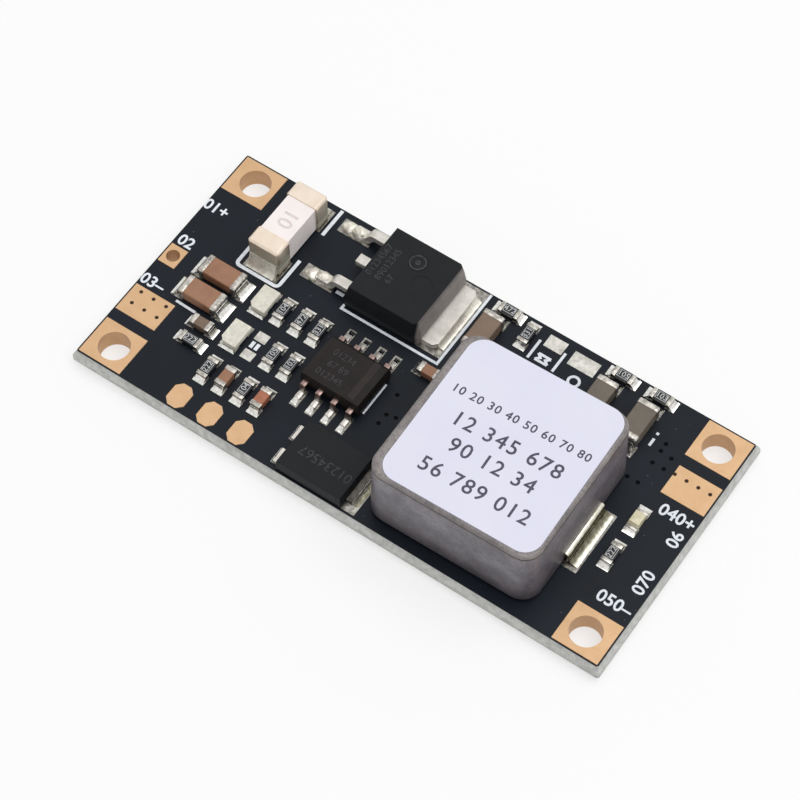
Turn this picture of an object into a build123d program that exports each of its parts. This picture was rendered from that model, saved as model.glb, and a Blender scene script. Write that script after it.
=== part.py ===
from build123d import *

import os
from dataclasses import dataclass
from math import atan2, degrees

# Buck converter module: a bare circuit board that carries its parts on one face.
# Frame: +X runs from the input end to the output end, +Y to the long edge that carries the
# plus terminals, +Z up out of the parts. The origin is the centre of the board's underside.
# All sizes are in millimetres.

# Board
BOARD_LENGTH = 43.0
BOARD_WIDTH = 20.5
BOARD_THICKNESS = 1.6
BOARD_CORNER = 0.12
MASK_THICKNESS = 0.04

# The edges are V scored: from a web at half height they slope in to the masked faces
SCORE_DEPTH = 0.27
SCORE_WEB = 0.4
FACE_LENGTH = BOARD_LENGTH - 2 * SCORE_DEPTH
FACE_WIDTH = BOARD_WIDTH - 2 * SCORE_DEPTH

# Corner holes and their plating
HOLE_DIAMETER = 2.3
HOLE_FROM_END = 2.25
HOLE_FROM_SIDE = 2.0
PLATING = 0.05

# The parts' places are given on a face of 43.0 by 20.5, and spread to the board's own face
SPREAD_X = FACE_LENGTH / 43.0
SPREAD_Y = FACE_WIDTH / 20.5

# Bare gold pads. They stand a little proud of the mask that frames them.
PAD_THICKNESS = 0.07
PAD_FRAME_GAP = 0.02
PAD_EDGE_MARGIN = 0.12
CORNER_PAD_IN_X = 1.65
CORNER_PAD_IN_Y = 1.62
STRAP_PAD_LENGTH = 3.35
STRAP_PAD_WIDTH = 2.45
STRAP_PAD_CORNER_GAP = 0.92
STRAP_VIA_DIAMETER = 0.3
STRAP_VIA_SIDES = 8
INPUT_VIA_PITCH = 1.08
OUTPUT_VIA_PITCH = 0.92
ENABLE_PAD_LENGTH = 1.4
ENABLE_PAD_WIDTH = 1.7
ENABLE_HOLE_DIAMETER = 1.0
TEST_PAD_LENGTH = 1.48
TEST_PAD_WIDTH = 1.92
TEST_PAD_CORNER = 0.42
TEST_PAD_COUNT = 3
TEST_PAD_PITCH = 2.55
TEST_PAD_FIRST_X = -13.33

# Tinned lands lie on the board's face, and the parts are seated on them
LAND_THICKNESS = 0.03
SMALL_TOE = 0.42
LARGE_TOE = 0.66
LAND_HEEL = 0.35
LAND_SIDE = 0.05

# Solder climbs a chip's end by a share of its height, and a thin lead by a share of its thickness.
# It covers a share of a lead's toe of land. A ramp has a hollow face, but a very low one is flat.
CHIP_SOLDER_RISE = 0.62
LEAD_SOLDER_RISE = 0.9
LEAD_SOLDER_REACH = 0.85
SOLDER_HOLLOW = 0.22
SOLDER_FLAT_RISE = 0.3

# Two-ended chips in two plan sizes
SMALL_CHIP_LENGTH = 1.6
SMALL_CHIP_WIDTH = 0.82
SMALL_CHIP_WALL = 0.03
RESISTOR_HEIGHT = 0.45
RESISTOR_BAND = 0.3
SMALL_CAPACITOR_HEIGHT = 0.7
SMALL_CAPACITOR_BAND = 0.35
LARGE_CHIP_LENGTH = 3.2
LARGE_CHIP_WIDTH = 1.6
LARGE_CHIP_WALL = 0.04
LARGE_CHIP_BAND = 0.45
LARGE_CHIP_BEVEL = 0.09
LOW_CAPACITOR_HEIGHT = 1.0
TALL_CAPACITOR_HEIGHT = 1.28

# Fuse: a square ceramic tube between two plated caps
FUSE_LENGTH = 6.1
FUSE_CAP_SIZE = 2.6
FUSE_CAP_LENGTH = 1.4
FUSE_CAP_WALL = 0.13
FUSE_CAP_BEVEL = 0.16
FUSE_LAND_WIDTH = 2.85
FUSE_LAND_TOE = 0.58
FUSE_LAND_HEEL = 1.45
FUSE_SOLDER_RISE = 1.17

# Power inductor: a moulded block with a flat strap folded down each end
INDUCTOR_LENGTH = 13.1
INDUCTOR_WIDTH = 13.05
INDUCTOR_TOP = 5.88
INDUCTOR_CORNER = 1.45
INDUCTOR_DRAFT = 1.1
INDUCTOR_TOP_BEVEL = 0.18
STRAP_THICKNESS = 0.22
STRAP_WIDTH = 4.6
STRAP_CENTRE_Y = 0.05
STRAP_HEIGHT = 1.05
STRAP_FOOT = 2.6
STRAP_ENTRY = 0.8
STRAP_STANDOFF = 0.1
STRAP_BEND = 0.18
STRAP_LAND_TOE = 0.85
STRAP_LAND_SIDE = 0.26
LABEL_LENGTH = 12.1
LABEL_WIDTH = 12.5
LABEL_THICKNESS = 0.08
LABEL_CORNER = 1.3
LABEL_SHIFT_X = 0.07
LABEL_SHIFT_Y = 0.08
LABEL_TURN = 1.3

# Switching transistor: moulded body on a copper tab, two bent leads and a cut middle lead
MOSFET_FROM_EDGE = 3.38
MOSFET_LENGTH = 6.2
MOSFET_WIDTH = 6.5
MOSFET_HEIGHT = 2.3
MOSFET_PARTING = 1.0
MOSFET_LOWER_DRAFT = 4
MOSFET_UPPER_DRAFT = 12
MOSFET_CORNER = 0.45
MOSFET_TAB_WIDTH = 5.4
MOSFET_TAB_THICKNESS = 0.5
MOSFET_TAB_REACH = 1.12
MOSFET_TAB_INSIDE = 3.4
MOSFET_TAB_CORNER = 0.3
MOSFET_LEAD_WIDTH = 0.76
MOSFET_LEAD_THICKNESS = 0.5
MOSFET_LEAD_PITCH = 4.57
MOSFET_LEAD_SHOULDER = 1.2
MOSFET_LEAD_FOOT = 1.1
MOSFET_LEAD_REACH = 2.75
MOSFET_LEAD_BEND = 0.3
MOSFET_STUB_REACH = 1.0
LEAD_INSIDE = 0.4
RING_MARK_DIAMETER = 1.38
RING_MARK_WIDTH = 0.16
RING_MARK_Y = 1.37
DIMPLE_DIAMETER = 1.5
DIMPLE_X = 1.24
MARK_DEPTH = 0.04
MOSFET_LAND_LENGTH = 5.9
MOSFET_LAND_WIDTH = 6.3
MOSFET_LAND_SHIFT = 0.08
MOSFET_LAND_BEYOND_TAB = 0.55
MOSFET_LEAD_LAND_LENGTH = 2.7
MOSFET_LEAD_LAND_WIDTH = 1.2
MOSFET_LEAD_LAND_TOE = 1.3

# Rectifier diode: a low moulded body, two narrow leads at one end and a wide one at the other
DIODE_FROM_EDGE = 2.12
DIODE_LENGTH = 5.35
DIODE_WIDTH = 4.0
DIODE_HEIGHT = 1.05
DIODE_PARTING = 0.3
DIODE_DRAFT = 6
DIODE_LEAD_THICKNESS = 0.25
DIODE_LEAD_REACH = 0.45
DIODE_LEAD_INSIDE = 1.0
DIODE_ANODE_WIDTH = 1.2
DIODE_ANODE_PITCH = 2.12
DIODE_CATHODE_WIDTH = 2.6
DIODE_CATHODE_INSIDE = 3.0
DIODE_ANODE_TOE = 0.16
DIODE_CATHODE_TOE = 0.6
DIODE_CATHODE_LAND_WIDTH = 3.9

# Controller: eight-lead moulded package
CONTROLLER_LENGTH = 4.9
CONTROLLER_WIDTH = 3.9
CONTROLLER_STANDOFF = 0.1
CONTROLLER_HEIGHT = 1.5
CONTROLLER_PARTING = 0.8
CONTROLLER_DRAFT = 7
CONTROLLER_BEVEL = 0.25
CONTROLLER_LEADS_A_SIDE = 4
CONTROLLER_LEAD_PITCH = 1.27
CONTROLLER_LEAD_WIDTH = 0.42
CONTROLLER_LEAD_THICKNESS = 0.2
CONTROLLER_LEAD_SPAN = 6.1
CONTROLLER_LEAD_SHOULDER = 0.35
CONTROLLER_LEAD_FOOT = 0.62
CONTROLLER_LAND_LENGTH = 1.5
CONTROLLER_LAND_WIDTH = 0.6
CONTROLLER_TOE = 0.58

# White chips with one cut corner
WHITE_CHIP_LENGTH = 2.0
WHITE_CHIP_WIDTH = 1.35
WHITE_CHIP_HEIGHT = 0.62
WHITE_CHIP_CORNER = 0.3
WHITE_CHIP_FOOT_HEIGHT = 0.14
WHITE_CHIP_FOOT_LENGTH = 0.5
WHITE_CHIP_FOOT_REACH = 0.04
WHITE_CHIP_TOE = 0.24

# Indicator light
LAMP_LENGTH = 1.6
LAMP_WIDTH = 0.85
LAMP_BASE_HEIGHT = 0.22
LAMP_LENS_LENGTH = 1.05
LAMP_LENS_HEIGHT = 0.3
LAMP_LENS_DRAFT = 10
LAMP_CAP_LENGTH = 0.26

# Bare tinned lands near the plus edge, where nothing is fitted
NARROW_LAND_LENGTH = 1.45
NARROW_LAND_WIDTH = 1.05
WIDE_LAND_LENGTH = 2.08
WIDE_LAND_WIDTH = 1.2


@dataclass(frozen=True)
class ViaGrid:
    """Rows of tiny holes in a strap pad, by the grid's centre from the pad's centre."""

    x: float
    y: float
    pitch: float
    columns: int
    rows: int


@dataclass(frozen=True)
class ChipSize:
    """Outer size of a two-ended chip, of its end caps and of its lands' toes.

    The end cap is a cup round the chip's end, or a bracket where its side wall is nought.
    """

    length: float
    width: float
    height: float
    band: float
    wall: float
    toe: float
    side_wall: float = 0.0
    bevel: float = 0.0


@dataclass(frozen=True)
class Spot:
    """Place of a part on the board. An upright part runs along Y, the others along X.

    The turn is the small one, in degrees, by which a part sits askew on its lands.
    """

    x: float
    y: float
    upright: bool = False
    turn: float = 0.0

    @property
    def quarter_turn(self):
        return 90 if self.upright else 0


def spread(x, y, upright=False, turn=0.0):
    """A spot that moves outwards and inwards with the board's size."""
    return Spot(x * SPREAD_X, y * SPREAD_Y, upright, turn)


INPUT_VIAS = ViaGrid(0.1, 0.28, INPUT_VIA_PITCH, columns=3, rows=2)
OUTPUT_VIAS = ViaGrid(-0.2, 0.45, OUTPUT_VIA_PITCH, columns=4, rows=1)

RESISTOR_SIZE = ChipSize(
    SMALL_CHIP_LENGTH, SMALL_CHIP_WIDTH, RESISTOR_HEIGHT, RESISTOR_BAND, SMALL_CHIP_WALL, SMALL_TOE
)
SMALL_CAPACITOR = ChipSize(
    SMALL_CHIP_LENGTH,
    SMALL_CHIP_WIDTH,
    SMALL_CAPACITOR_HEIGHT,
    SMALL_CAPACITOR_BAND,
    SMALL_CHIP_WALL,
    SMALL_TOE,
    side_wall=SMALL_CHIP_WALL,
)


def large_capacitor(height):
    return ChipSize(
        LARGE_CHIP_LENGTH,
        LARGE_CHIP_WIDTH,
        height,
        LARGE_CHIP_BAND,
        LARGE_CHIP_WALL,
        LARGE_TOE,
        side_wall=LARGE_CHIP_WALL,
        bevel=LARGE_CHIP_BEVEL,
    )


LOW_CAPACITOR = large_capacitor(LOW_CAPACITOR_HEIGHT)
TALL_CAPACITOR = large_capacitor(TALL_CAPACITOR_HEIGHT)

FUSE_SPOT = spread(-14.72, 5.97, upright=True)
INDUCTOR_SPOT = spread(8.8, -2.65, turn=0.8)
MOSFET_SPOT = Spot(-5.1 * SPREAD_X, FACE_WIDTH / 2 - MOSFET_FROM_EDGE)
DIODE_SPOT = Spot(-1.8 * SPREAD_X, DIODE_FROM_EDGE - FACE_WIDTH / 2)
CONTROLLER_SPOT = spread(-4.53, -1.6, turn=-1.0)
LAMP_SPOT = spread(17.88, 0.5, upright=True)
WHITE_CHIP_SPOTS = (spread(-12.93, 0.45, upright=True), spread(-12.93, -3.02, upright=True))

# The small chips left of the controller stand on a grid of rows and columns
GRID_X = (-12.95, -11.39, -9.83, -8.35)
GRID_Y = (0.57, -2.88, -6.32)


def grid_spot(column, row):
    return spread(GRID_X[column], GRID_Y[row], upright=True)


EMPTY_SPOT = grid_spot(1, 1)

CAPACITORS = (
    (LOW_CAPACITOR, spread(-16.5, 0.4)),
    (LOW_CAPACITOR, spread(-16.65, -1.8)),
    (SMALL_CAPACITOR, spread(-15.35, -3.7)),
    (SMALL_CAPACITOR, grid_spot(1, 2)),
    (SMALL_CAPACITOR, grid_spot(3, 2)),
    (SMALL_CAPACITOR, spread(-0.05, 2.1)),
    (TALL_CAPACITOR, spread(1.33, 6.75, upright=True)),
    (TALL_CAPACITOR, spread(10.75, 6.7, upright=True)),
    (TALL_CAPACITOR, spread(14.05, 6.7, upright=True)),
)

RESISTORS = (
    spread(-15.3, -5.15),
    grid_spot(1, 0),
    grid_spot(2, 0),
    grid_spot(3, 0),
    grid_spot(2, 1),
    grid_spot(3, 1),
    grid_spot(0, 2),
    grid_spot(2, 2),
    spread(1.75, 9.6),
    spread(3.8, 8.7, upright=True),
    spread(11.15, 9.6),
    spread(14.25, 9.6),
    spread(17.85, -2.7, upright=True),
)

BARE_LANDS = (
    (NARROW_LAND_LENGTH, NARROW_LAND_WIDTH, spread(5.83, 9.25)),
    (WIDE_LAND_LENGTH, WIDE_LAND_WIDTH, spread(8.31, 9.0)),
)

# Heights and places that follow from the board's own build
LAMINATE_BOTTOM = MASK_THICKNESS
LAMINATE_TOP = BOARD_THICKNESS - MASK_THICKNESS
LAMINATE_THICKNESS = LAMINATE_TOP - LAMINATE_BOTTOM
SEAT = BOARD_THICKNESS + LAND_THICKNESS
BARREL_RADIUS = HOLE_DIAMETER / 2 + PLATING
HOLE_X = BOARD_LENGTH / 2 - HOLE_FROM_END
HOLE_Y = BOARD_WIDTH / 2 - HOLE_FROM_SIDE


def slab(length, width, height, x=0.0, y=0.0, bottom=0.0):
    """A block by its centre in plan and the height of its underside."""
    return Pos(x, y, bottom + height / 2) * Box(length, width, height)


def seated(shape, spot):
    """A part drawn along X on its own base, put down on the lands at its spot."""
    return Pos(spot.x, spot.y, SEAT) * Rot(0, 0, spot.quarter_turn + spot.turn) * shape


def on_face(shape, spot):
    """A land drawn along X on its own base, laid square on the board's face."""
    return Pos(spot.x, spot.y, BOARD_THICKNESS) * Rot(0, 0, spot.quarter_turn) * shape


def both_ends(shape):
    """A piece at the plus end of a part, and its mirror image at the other end."""
    return [shape, shape.mirror(Plane.YZ)]


def solder_ramp(face, reach, rise, width, y=0.0):
    """A ramp of solder from a land up a part's end face, towards +X."""
    toe = (face + reach, 0)
    crest = (face, rise)
    if rise < SOLDER_FLAT_RISE:
        slope = Line(toe, crest)
    else:
        slope = SagittaArc(toe, crest, SOLDER_HOLLOW * min(reach, rise))
    outline = [Line((face, 0), toe), slope, Line(crest, (face, 0))]
    profile = Plane.XZ * make_face(outline)
    return Pos(0, y, 0) * extrude(profile, width / 2, both=True)


def bent_strip(path, thickness, width):
    """A flat strip that follows a path in the XZ plane."""
    return extrude(Plane.XZ * trace(path, thickness), width / 2, both=True)


def drafted_body(outline, parting, height, lower_draft, upper_draft, bottom=0.0):
    """A moulded body that narrows upwards and downwards from its parting line."""
    upper = extrude(Pos(0, 0, parting) * outline, height - parting, taper=upper_draft)
    lower = extrude(Pos(0, 0, parting) * outline, parting - bottom, dir=(0, 0, -1), taper=lower_draft)
    return upper + lower


# Board, masks and bare pads


def board_outline(length, width):
    return chamfer(Rectangle(length, width).vertices(), BOARD_CORNER)


def face_outline():
    """Outline of the masked faces, inside the scored edges."""
    return board_outline(FACE_LENGTH, FACE_WIDTH)


def scored_blank():
    """The laminate before drilling: a web all round, and a slope to each face."""
    outline = board_outline(BOARD_LENGTH, BOARD_WIDTH)
    rise = (LAMINATE_THICKNESS - SCORE_WEB) / 2
    draft = degrees(atan2(SCORE_DEPTH, rise))
    web = Pos(0, 0, LAMINATE_BOTTOM + rise) * extrude(outline, SCORE_WEB)
    upper = Pos(0, 0, LAMINATE_TOP - rise) * extrude(outline, rise, taper=draft)
    lower = Pos(0, 0, LAMINATE_BOTTOM + rise) * extrude(outline, rise, dir=(0, 0, -1), taper=draft)
    return web + upper + lower


def corner_signs():
    """The four corners: name, X side, Y side."""
    return (
        ("input_plus", -1, 1),
        ("input_minus", -1, -1),
        ("output_plus", 1, 1),
        ("output_minus", 1, -1),
    )


def corner_pad(side_x, side_y, grow=0.0):
    """Outline of a corner pad, from near the face's edges to a little inside the hole."""
    out_x = HOLE_FROM_END - SCORE_DEPTH - PAD_EDGE_MARGIN
    out_y = HOLE_FROM_SIDE - SCORE_DEPTH - PAD_EDGE_MARGIN
    length = out_x + CORNER_PAD_IN_X + 2 * grow
    width = out_y + CORNER_PAD_IN_Y + 2 * grow
    x = side_x * (HOLE_X + (out_x - CORNER_PAD_IN_X) / 2)
    y = side_y * (HOLE_Y + (out_y - CORNER_PAD_IN_Y) / 2)
    return Pos(x, y) * Rectangle(length, width)


def corner_hole(side_x, side_y, radius):
    return Pos(side_x * HOLE_X, side_y * HOLE_Y) * Circle(radius)


def enable_centre():
    return -(FACE_LENGTH / 2 - PAD_EDGE_MARGIN - ENABLE_PAD_LENGTH / 2)


def enable_pad(grow=0.0):
    return Pos(enable_centre(), 0) * Rectangle(ENABLE_PAD_LENGTH + 2 * grow, ENABLE_PAD_WIDTH + 2 * grow)


def enable_hole(radius):
    return Pos(enable_centre(), 0) * Circle(radius)


def strap_pad_centre(side):
    """The pad lies inward of its corner pad: minus corner at the input, plus corner at the output."""
    x = side * (FACE_LENGTH / 2 - PAD_EDGE_MARGIN - STRAP_PAD_LENGTH / 2)
    inner_edge = HOLE_Y - CORNER_PAD_IN_Y
    y = side * (inner_edge - STRAP_PAD_CORNER_GAP - STRAP_PAD_WIDTH / 2)
    return x, y


def strap_pad(side, grow=0.0):
    x, y = strap_pad_centre(side)
    return Pos(x, y) * Rectangle(STRAP_PAD_LENGTH + 2 * grow, STRAP_PAD_WIDTH + 2 * grow)


def strap_vias(side, vias):
    x, y = strap_pad_centre(side)
    grid = GridLocations(vias.pitch, vias.pitch, vias.columns, vias.rows)
    return Pos(x + vias.x, y + vias.y) * grid * RegularPolygon(STRAP_VIA_DIAMETER / 2, STRAP_VIA_SIDES)


def test_pad(index, grow=0.0):
    x = TEST_PAD_FIRST_X * SPREAD_X + index * TEST_PAD_PITCH
    y = -(FACE_WIDTH / 2 - PAD_EDGE_MARGIN - TEST_PAD_WIDTH / 2)
    outline = Rectangle(TEST_PAD_LENGTH + 2 * grow, TEST_PAD_WIDTH + 2 * grow)
    return Pos(x, y) * chamfer(outline.vertices(), TEST_PAD_CORNER)


def make_board():
    drills = [corner_hole(side_x, side_y, BARREL_RADIUS) for _, side_x, side_y in corner_signs()]
    drills.append(enable_hole(ENABLE_HOLE_DIAMETER / 2 + PLATING))
    return scored_blank() - [extrude(drill, BOARD_THICKNESS) for drill in drills]


def plated_hole_openings():
    """The openings in the mask that both faces have."""
    openings = [corner_pad(side_x, side_y, PAD_FRAME_GAP) for _, side_x, side_y in corner_signs()]
    return openings + [enable_pad(PAD_FRAME_GAP)]


def make_top_mask():
    openings = plated_hole_openings()
    openings += [strap_pad(side, PAD_FRAME_GAP) for side in (-1, 1)]
    openings += [test_pad(index, PAD_FRAME_GAP) for index in range(TEST_PAD_COUNT)]
    return Pos(0, 0, LAMINATE_TOP) * extrude(face_outline() - openings, MASK_THICKNESS)


def make_bottom_mask():
    return extrude(face_outline() - plated_hole_openings(), MASK_THICKNESS)


def plated_terminal(pad, barrel, bore):
    """A pad on each face, joined by the barrel that lines the hole."""
    lower = extrude(pad, MASK_THICKNESS)
    upper = Pos(0, 0, LAMINATE_TOP) * extrude(pad, PAD_THICKNESS)
    lining = extrude(barrel, LAMINATE_TOP + PAD_THICKNESS)
    return upper + lower + lining - extrude(bore, LAMINATE_TOP + PAD_THICKNESS)


def make_corner_terminal(side_x, side_y):
    return plated_terminal(
        corner_pad(side_x, side_y),
        corner_hole(side_x, side_y, BARREL_RADIUS),
        corner_hole(side_x, side_y, HOLE_DIAMETER / 2),
    )


def make_enable_terminal():
    radius = ENABLE_HOLE_DIAMETER / 2
    return plated_terminal(enable_pad(), enable_hole(radius + PLATING), enable_hole(radius))


def make_strap_pad(side, vias):
    outline = strap_pad(side) - strap_vias(side, vias)
    return Pos(0, 0, LAMINATE_TOP) * extrude(outline, PAD_THICKNESS)


def make_test_pads():
    pads = [extrude(test_pad(index), PAD_THICKNESS) for index in range(TEST_PAD_COUNT)]
    return [Pos(0, 0, LAMINATE_TOP) * pad for pad in pads]


# Chips with two ends


def chip_core(size):
    """The ceramic block inside the end caps."""
    length = size.length - 2 * size.wall
    width = size.width - 2 * size.side_wall
    core = slab(length, width, size.height - 2 * size.wall, bottom=size.wall)
    if size.bevel:
        core = chamfer(core.edges(), size.bevel - size.wall / 2)
    return core


def chip_cap(size):
    """The plated cap at the plus end."""
    cap = slab(size.band, size.width, size.height, x=(size.length - size.band) / 2)
    if size.bevel:
        inner_face = cap.faces().sort_by(Axis.X)[0]
        cap = chamfer(cap.edges() - inner_face.edges(), size.bevel)
    return cap - chip_core(size)


def chip_lands(size):
    """The pair of tinned lands under a chip."""
    length = size.toe + LAND_HEEL
    x = size.length / 2 + size.toe - length / 2
    return both_ends(slab(length, size.width + 2 * LAND_SIDE, LAND_THICKNESS, x=x))


def chip_solder(size):
    """The pair of solder ramps at a chip's ends."""
    width = size.width - 2 * size.bevel
    return both_ends(solder_ramp(size.length / 2, size.toe, size.height * CHIP_SOLDER_RISE, width))


def resistor_body(size):
    """The ceramic block with its dark coat, which fills the space between the caps."""
    coat = slab(size.length - 2 * size.band, size.width, size.wall, bottom=size.height - size.wall)
    return chip_core(size) + coat


# Fuse


def fuse_tube():
    size = FUSE_CAP_SIZE - 2 * FUSE_CAP_WALL
    return slab(FUSE_LENGTH - 2 * FUSE_CAP_WALL, size, size, bottom=FUSE_CAP_WALL)


def fuse_cap():
    """The cap at the plus end, with every edge bevelled but those of its open end."""
    cap = slab(FUSE_CAP_LENGTH, FUSE_CAP_SIZE, FUSE_CAP_SIZE, x=(FUSE_LENGTH - FUSE_CAP_LENGTH) / 2)
    open_end = cap.faces().sort_by(Axis.X)[0]
    cap = chamfer(cap.edges() - open_end.edges(), FUSE_CAP_BEVEL)
    return cap - fuse_tube()


def fuse_lands():
    length = FUSE_LAND_TOE + FUSE_LAND_HEEL
    x = FUSE_LENGTH / 2 + FUSE_LAND_TOE - length / 2
    return both_ends(slab(length, FUSE_LAND_WIDTH, LAND_THICKNESS, x=x))


def fuse_solder():
    width = FUSE_CAP_SIZE - 2 * FUSE_CAP_BEVEL
    return both_ends(solder_ramp(FUSE_LENGTH / 2, FUSE_LAND_TOE, FUSE_SOLDER_RISE, width))


# Inductor


def inductor_strap():
    """The strap at the plus end: out of the core's side, down it and under it."""
    side = INDUCTOR_LENGTH / 2 + STRAP_STANDOFF + STRAP_THICKNESS / 2
    centre = STRAP_THICKNESS / 2
    points = [
        (side - STRAP_ENTRY, STRAP_HEIGHT - centre),
        (side, STRAP_HEIGHT - centre),
        (side, centre),
        (side - STRAP_FOOT, centre),
    ]
    path = FilletPolyline(*points, radius=STRAP_BEND)
    return Pos(0, STRAP_CENTRE_Y, 0) * bent_strip(path, STRAP_THICKNESS, STRAP_WIDTH)


def inductor_core():
    outline = RectangleRounded(INDUCTOR_LENGTH, INDUCTOR_WIDTH, INDUCTOR_CORNER)
    bottom = STRAP_THICKNESS
    core = extrude(Pos(0, 0, bottom) * outline, INDUCTOR_TOP - bottom, taper=INDUCTOR_DRAFT)
    rim = core.faces().sort_by(Axis.Z)[-1].edges()
    return chamfer(rim, INDUCTOR_TOP_BEVEL) - both_ends(inductor_strap())


def inductor_label():
    outline = RectangleRounded(LABEL_LENGTH, LABEL_WIDTH, LABEL_CORNER)
    place = Pos(LABEL_SHIFT_X, LABEL_SHIFT_Y, INDUCTOR_TOP) * Rot(0, 0, LABEL_TURN - INDUCTOR_SPOT.turn)
    return place * extrude(outline, LABEL_THICKNESS)


def inductor_lands():
    """The lands under the straps, a little wider than the straps and a toe beyond them."""
    outer = INDUCTOR_LENGTH / 2 + STRAP_STANDOFF + STRAP_THICKNESS + STRAP_LAND_TOE
    length = STRAP_LAND_TOE + STRAP_FOOT
    width = STRAP_WIDTH + 2 * STRAP_LAND_SIDE
    return both_ends(slab(length, width, LAND_THICKNESS, x=outer - length / 2, y=STRAP_CENTRE_Y))


def inductor_solder():
    face = INDUCTOR_LENGTH / 2 + STRAP_STANDOFF + STRAP_THICKNESS
    reach = STRAP_LAND_TOE * LEAD_SOLDER_REACH
    ramp = solder_ramp(face, reach, STRAP_HEIGHT * CHIP_SOLDER_RISE, STRAP_WIDTH, y=STRAP_CENTRE_Y)
    return both_ends(ramp)


# Switching transistor, drawn with its tab towards +X and its leads towards -X


def mosfet_tab():
    outer = MOSFET_LENGTH / 2 + MOSFET_TAB_REACH
    length = MOSFET_TAB_REACH + MOSFET_TAB_INSIDE
    outline = Pos(outer - length / 2, 0) * Rectangle(length, MOSFET_TAB_WIDTH)
    outline = chamfer(outline.vertices().group_by(Axis.X)[-1], MOSFET_TAB_CORNER)
    return extrude(outline, MOSFET_TAB_THICKNESS)


def mosfet_lead():
    """One outer lead, on the part's middle line."""
    inner = -MOSFET_LENGTH / 2 + LEAD_INSIDE
    shoulder = -MOSFET_LENGTH / 2 - MOSFET_LEAD_SHOULDER
    foot_end = -MOSFET_LENGTH / 2 - MOSFET_LEAD_REACH
    low = MOSFET_LEAD_THICKNESS / 2
    points = [
        (inner, MOSFET_PARTING),
        (shoulder, MOSFET_PARTING),
        (foot_end + MOSFET_LEAD_FOOT, low),
        (foot_end, low),
    ]
    path = FilletPolyline(*points, radius=MOSFET_LEAD_BEND)
    return bent_strip(path, MOSFET_LEAD_THICKNESS, MOSFET_LEAD_WIDTH)


def mosfet_stub():
    """The middle lead, cut short beside the body."""
    length = MOSFET_STUB_REACH + LEAD_INSIDE
    x = -MOSFET_LENGTH / 2 + LEAD_INSIDE - length / 2
    bottom = MOSFET_PARTING - MOSFET_LEAD_THICKNESS / 2
    return slab(length, MOSFET_LEAD_WIDTH, MOSFET_LEAD_THICKNESS, x=x, bottom=bottom)


def mosfet_leads():
    pitch = MOSFET_LEAD_PITCH / 2
    return [Pos(0, pitch, 0) * mosfet_lead(), Pos(0, -pitch, 0) * mosfet_lead(), mosfet_stub()]


def top_marks():
    """The moulded ring and the round dimple in the transistor's top face."""
    ring = Circle(RING_MARK_DIAMETER / 2) - Circle(RING_MARK_DIAMETER / 2 - RING_MARK_WIDTH)
    dimple = Pos(DIMPLE_X, 0) * Circle(DIMPLE_DIAMETER / 2)
    marks = [Pos(0, RING_MARK_Y) * ring, dimple]
    return [Pos(0, 0, MOSFET_HEIGHT - MARK_DEPTH) * extrude(mark, MARK_DEPTH) for mark in marks]


def mosfet_body():
    outline = Rectangle(MOSFET_LENGTH, MOSFET_WIDTH)
    outline = chamfer(outline.vertices().group_by(Axis.X)[-1], MOSFET_CORNER)
    body = drafted_body(
        outline, MOSFET_PARTING, MOSFET_HEIGHT, MOSFET_LOWER_DRAFT, MOSFET_UPPER_DRAFT
    )
    return body - [mosfet_tab(), *mosfet_leads(), *top_marks()]


def mosfet_lands():
    outer = MOSFET_LENGTH / 2 + MOSFET_TAB_REACH + MOSFET_LAND_BEYOND_TAB
    tab_x = outer - MOSFET_LAND_LENGTH / 2
    lands = [slab(MOSFET_LAND_LENGTH, MOSFET_LAND_WIDTH, LAND_THICKNESS, x=tab_x, y=MOSFET_LAND_SHIFT)]
    toe_end = -MOSFET_LENGTH / 2 - MOSFET_LEAD_REACH - MOSFET_LEAD_LAND_TOE
    lead_x = toe_end + MOSFET_LEAD_LAND_LENGTH / 2
    for y in (-MOSFET_LEAD_PITCH / 2, MOSFET_LEAD_PITCH / 2):
        lands.append(slab(MOSFET_LEAD_LAND_LENGTH, MOSFET_LEAD_LAND_WIDTH, LAND_THICKNESS, x=lead_x, y=y))
    return lands


def mosfet_solder():
    tab_face = MOSFET_LENGTH / 2 + MOSFET_TAB_REACH
    tab_rise = MOSFET_TAB_THICKNESS * LEAD_SOLDER_RISE
    tab_width = MOSFET_TAB_WIDTH - 2 * MOSFET_TAB_CORNER
    ramps = [solder_ramp(tab_face, MOSFET_LAND_BEYOND_TAB * LEAD_SOLDER_REACH, tab_rise, tab_width)]
    lead_face = MOSFET_LENGTH / 2 + MOSFET_LEAD_REACH
    lead_reach = MOSFET_LEAD_LAND_TOE * LEAD_SOLDER_REACH
    lead_rise = MOSFET_LEAD_THICKNESS * LEAD_SOLDER_RISE
    toe = solder_ramp(lead_face, lead_reach, lead_rise, MOSFET_LEAD_WIDTH).mirror(Plane.YZ)
    return ramps + [Pos(0, y, 0) * toe for y in (-MOSFET_LEAD_PITCH / 2, MOSFET_LEAD_PITCH / 2)]


# Rectifier diode, drawn with its wide lead towards +X


def diode_anodes():
    length = DIODE_LEAD_REACH + DIODE_LEAD_INSIDE
    x = -DIODE_LENGTH / 2 - DIODE_LEAD_REACH + length / 2
    pitch = DIODE_ANODE_PITCH / 2
    return [slab(length, DIODE_ANODE_WIDTH, DIODE_LEAD_THICKNESS, x=x, y=y) for y in (-pitch, pitch)]


def diode_cathode():
    length = DIODE_LEAD_REACH + DIODE_CATHODE_INSIDE
    x = DIODE_LENGTH / 2 + DIODE_LEAD_REACH - length / 2
    return slab(length, DIODE_CATHODE_WIDTH, DIODE_LEAD_THICKNESS, x=x)


def diode_body():
    outline = Rectangle(DIODE_LENGTH, DIODE_WIDTH)
    body = drafted_body(outline, DIODE_PARTING, DIODE_HEIGHT, DIODE_DRAFT, DIODE_DRAFT)
    return body - [diode_cathode(), *diode_anodes()]


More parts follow.
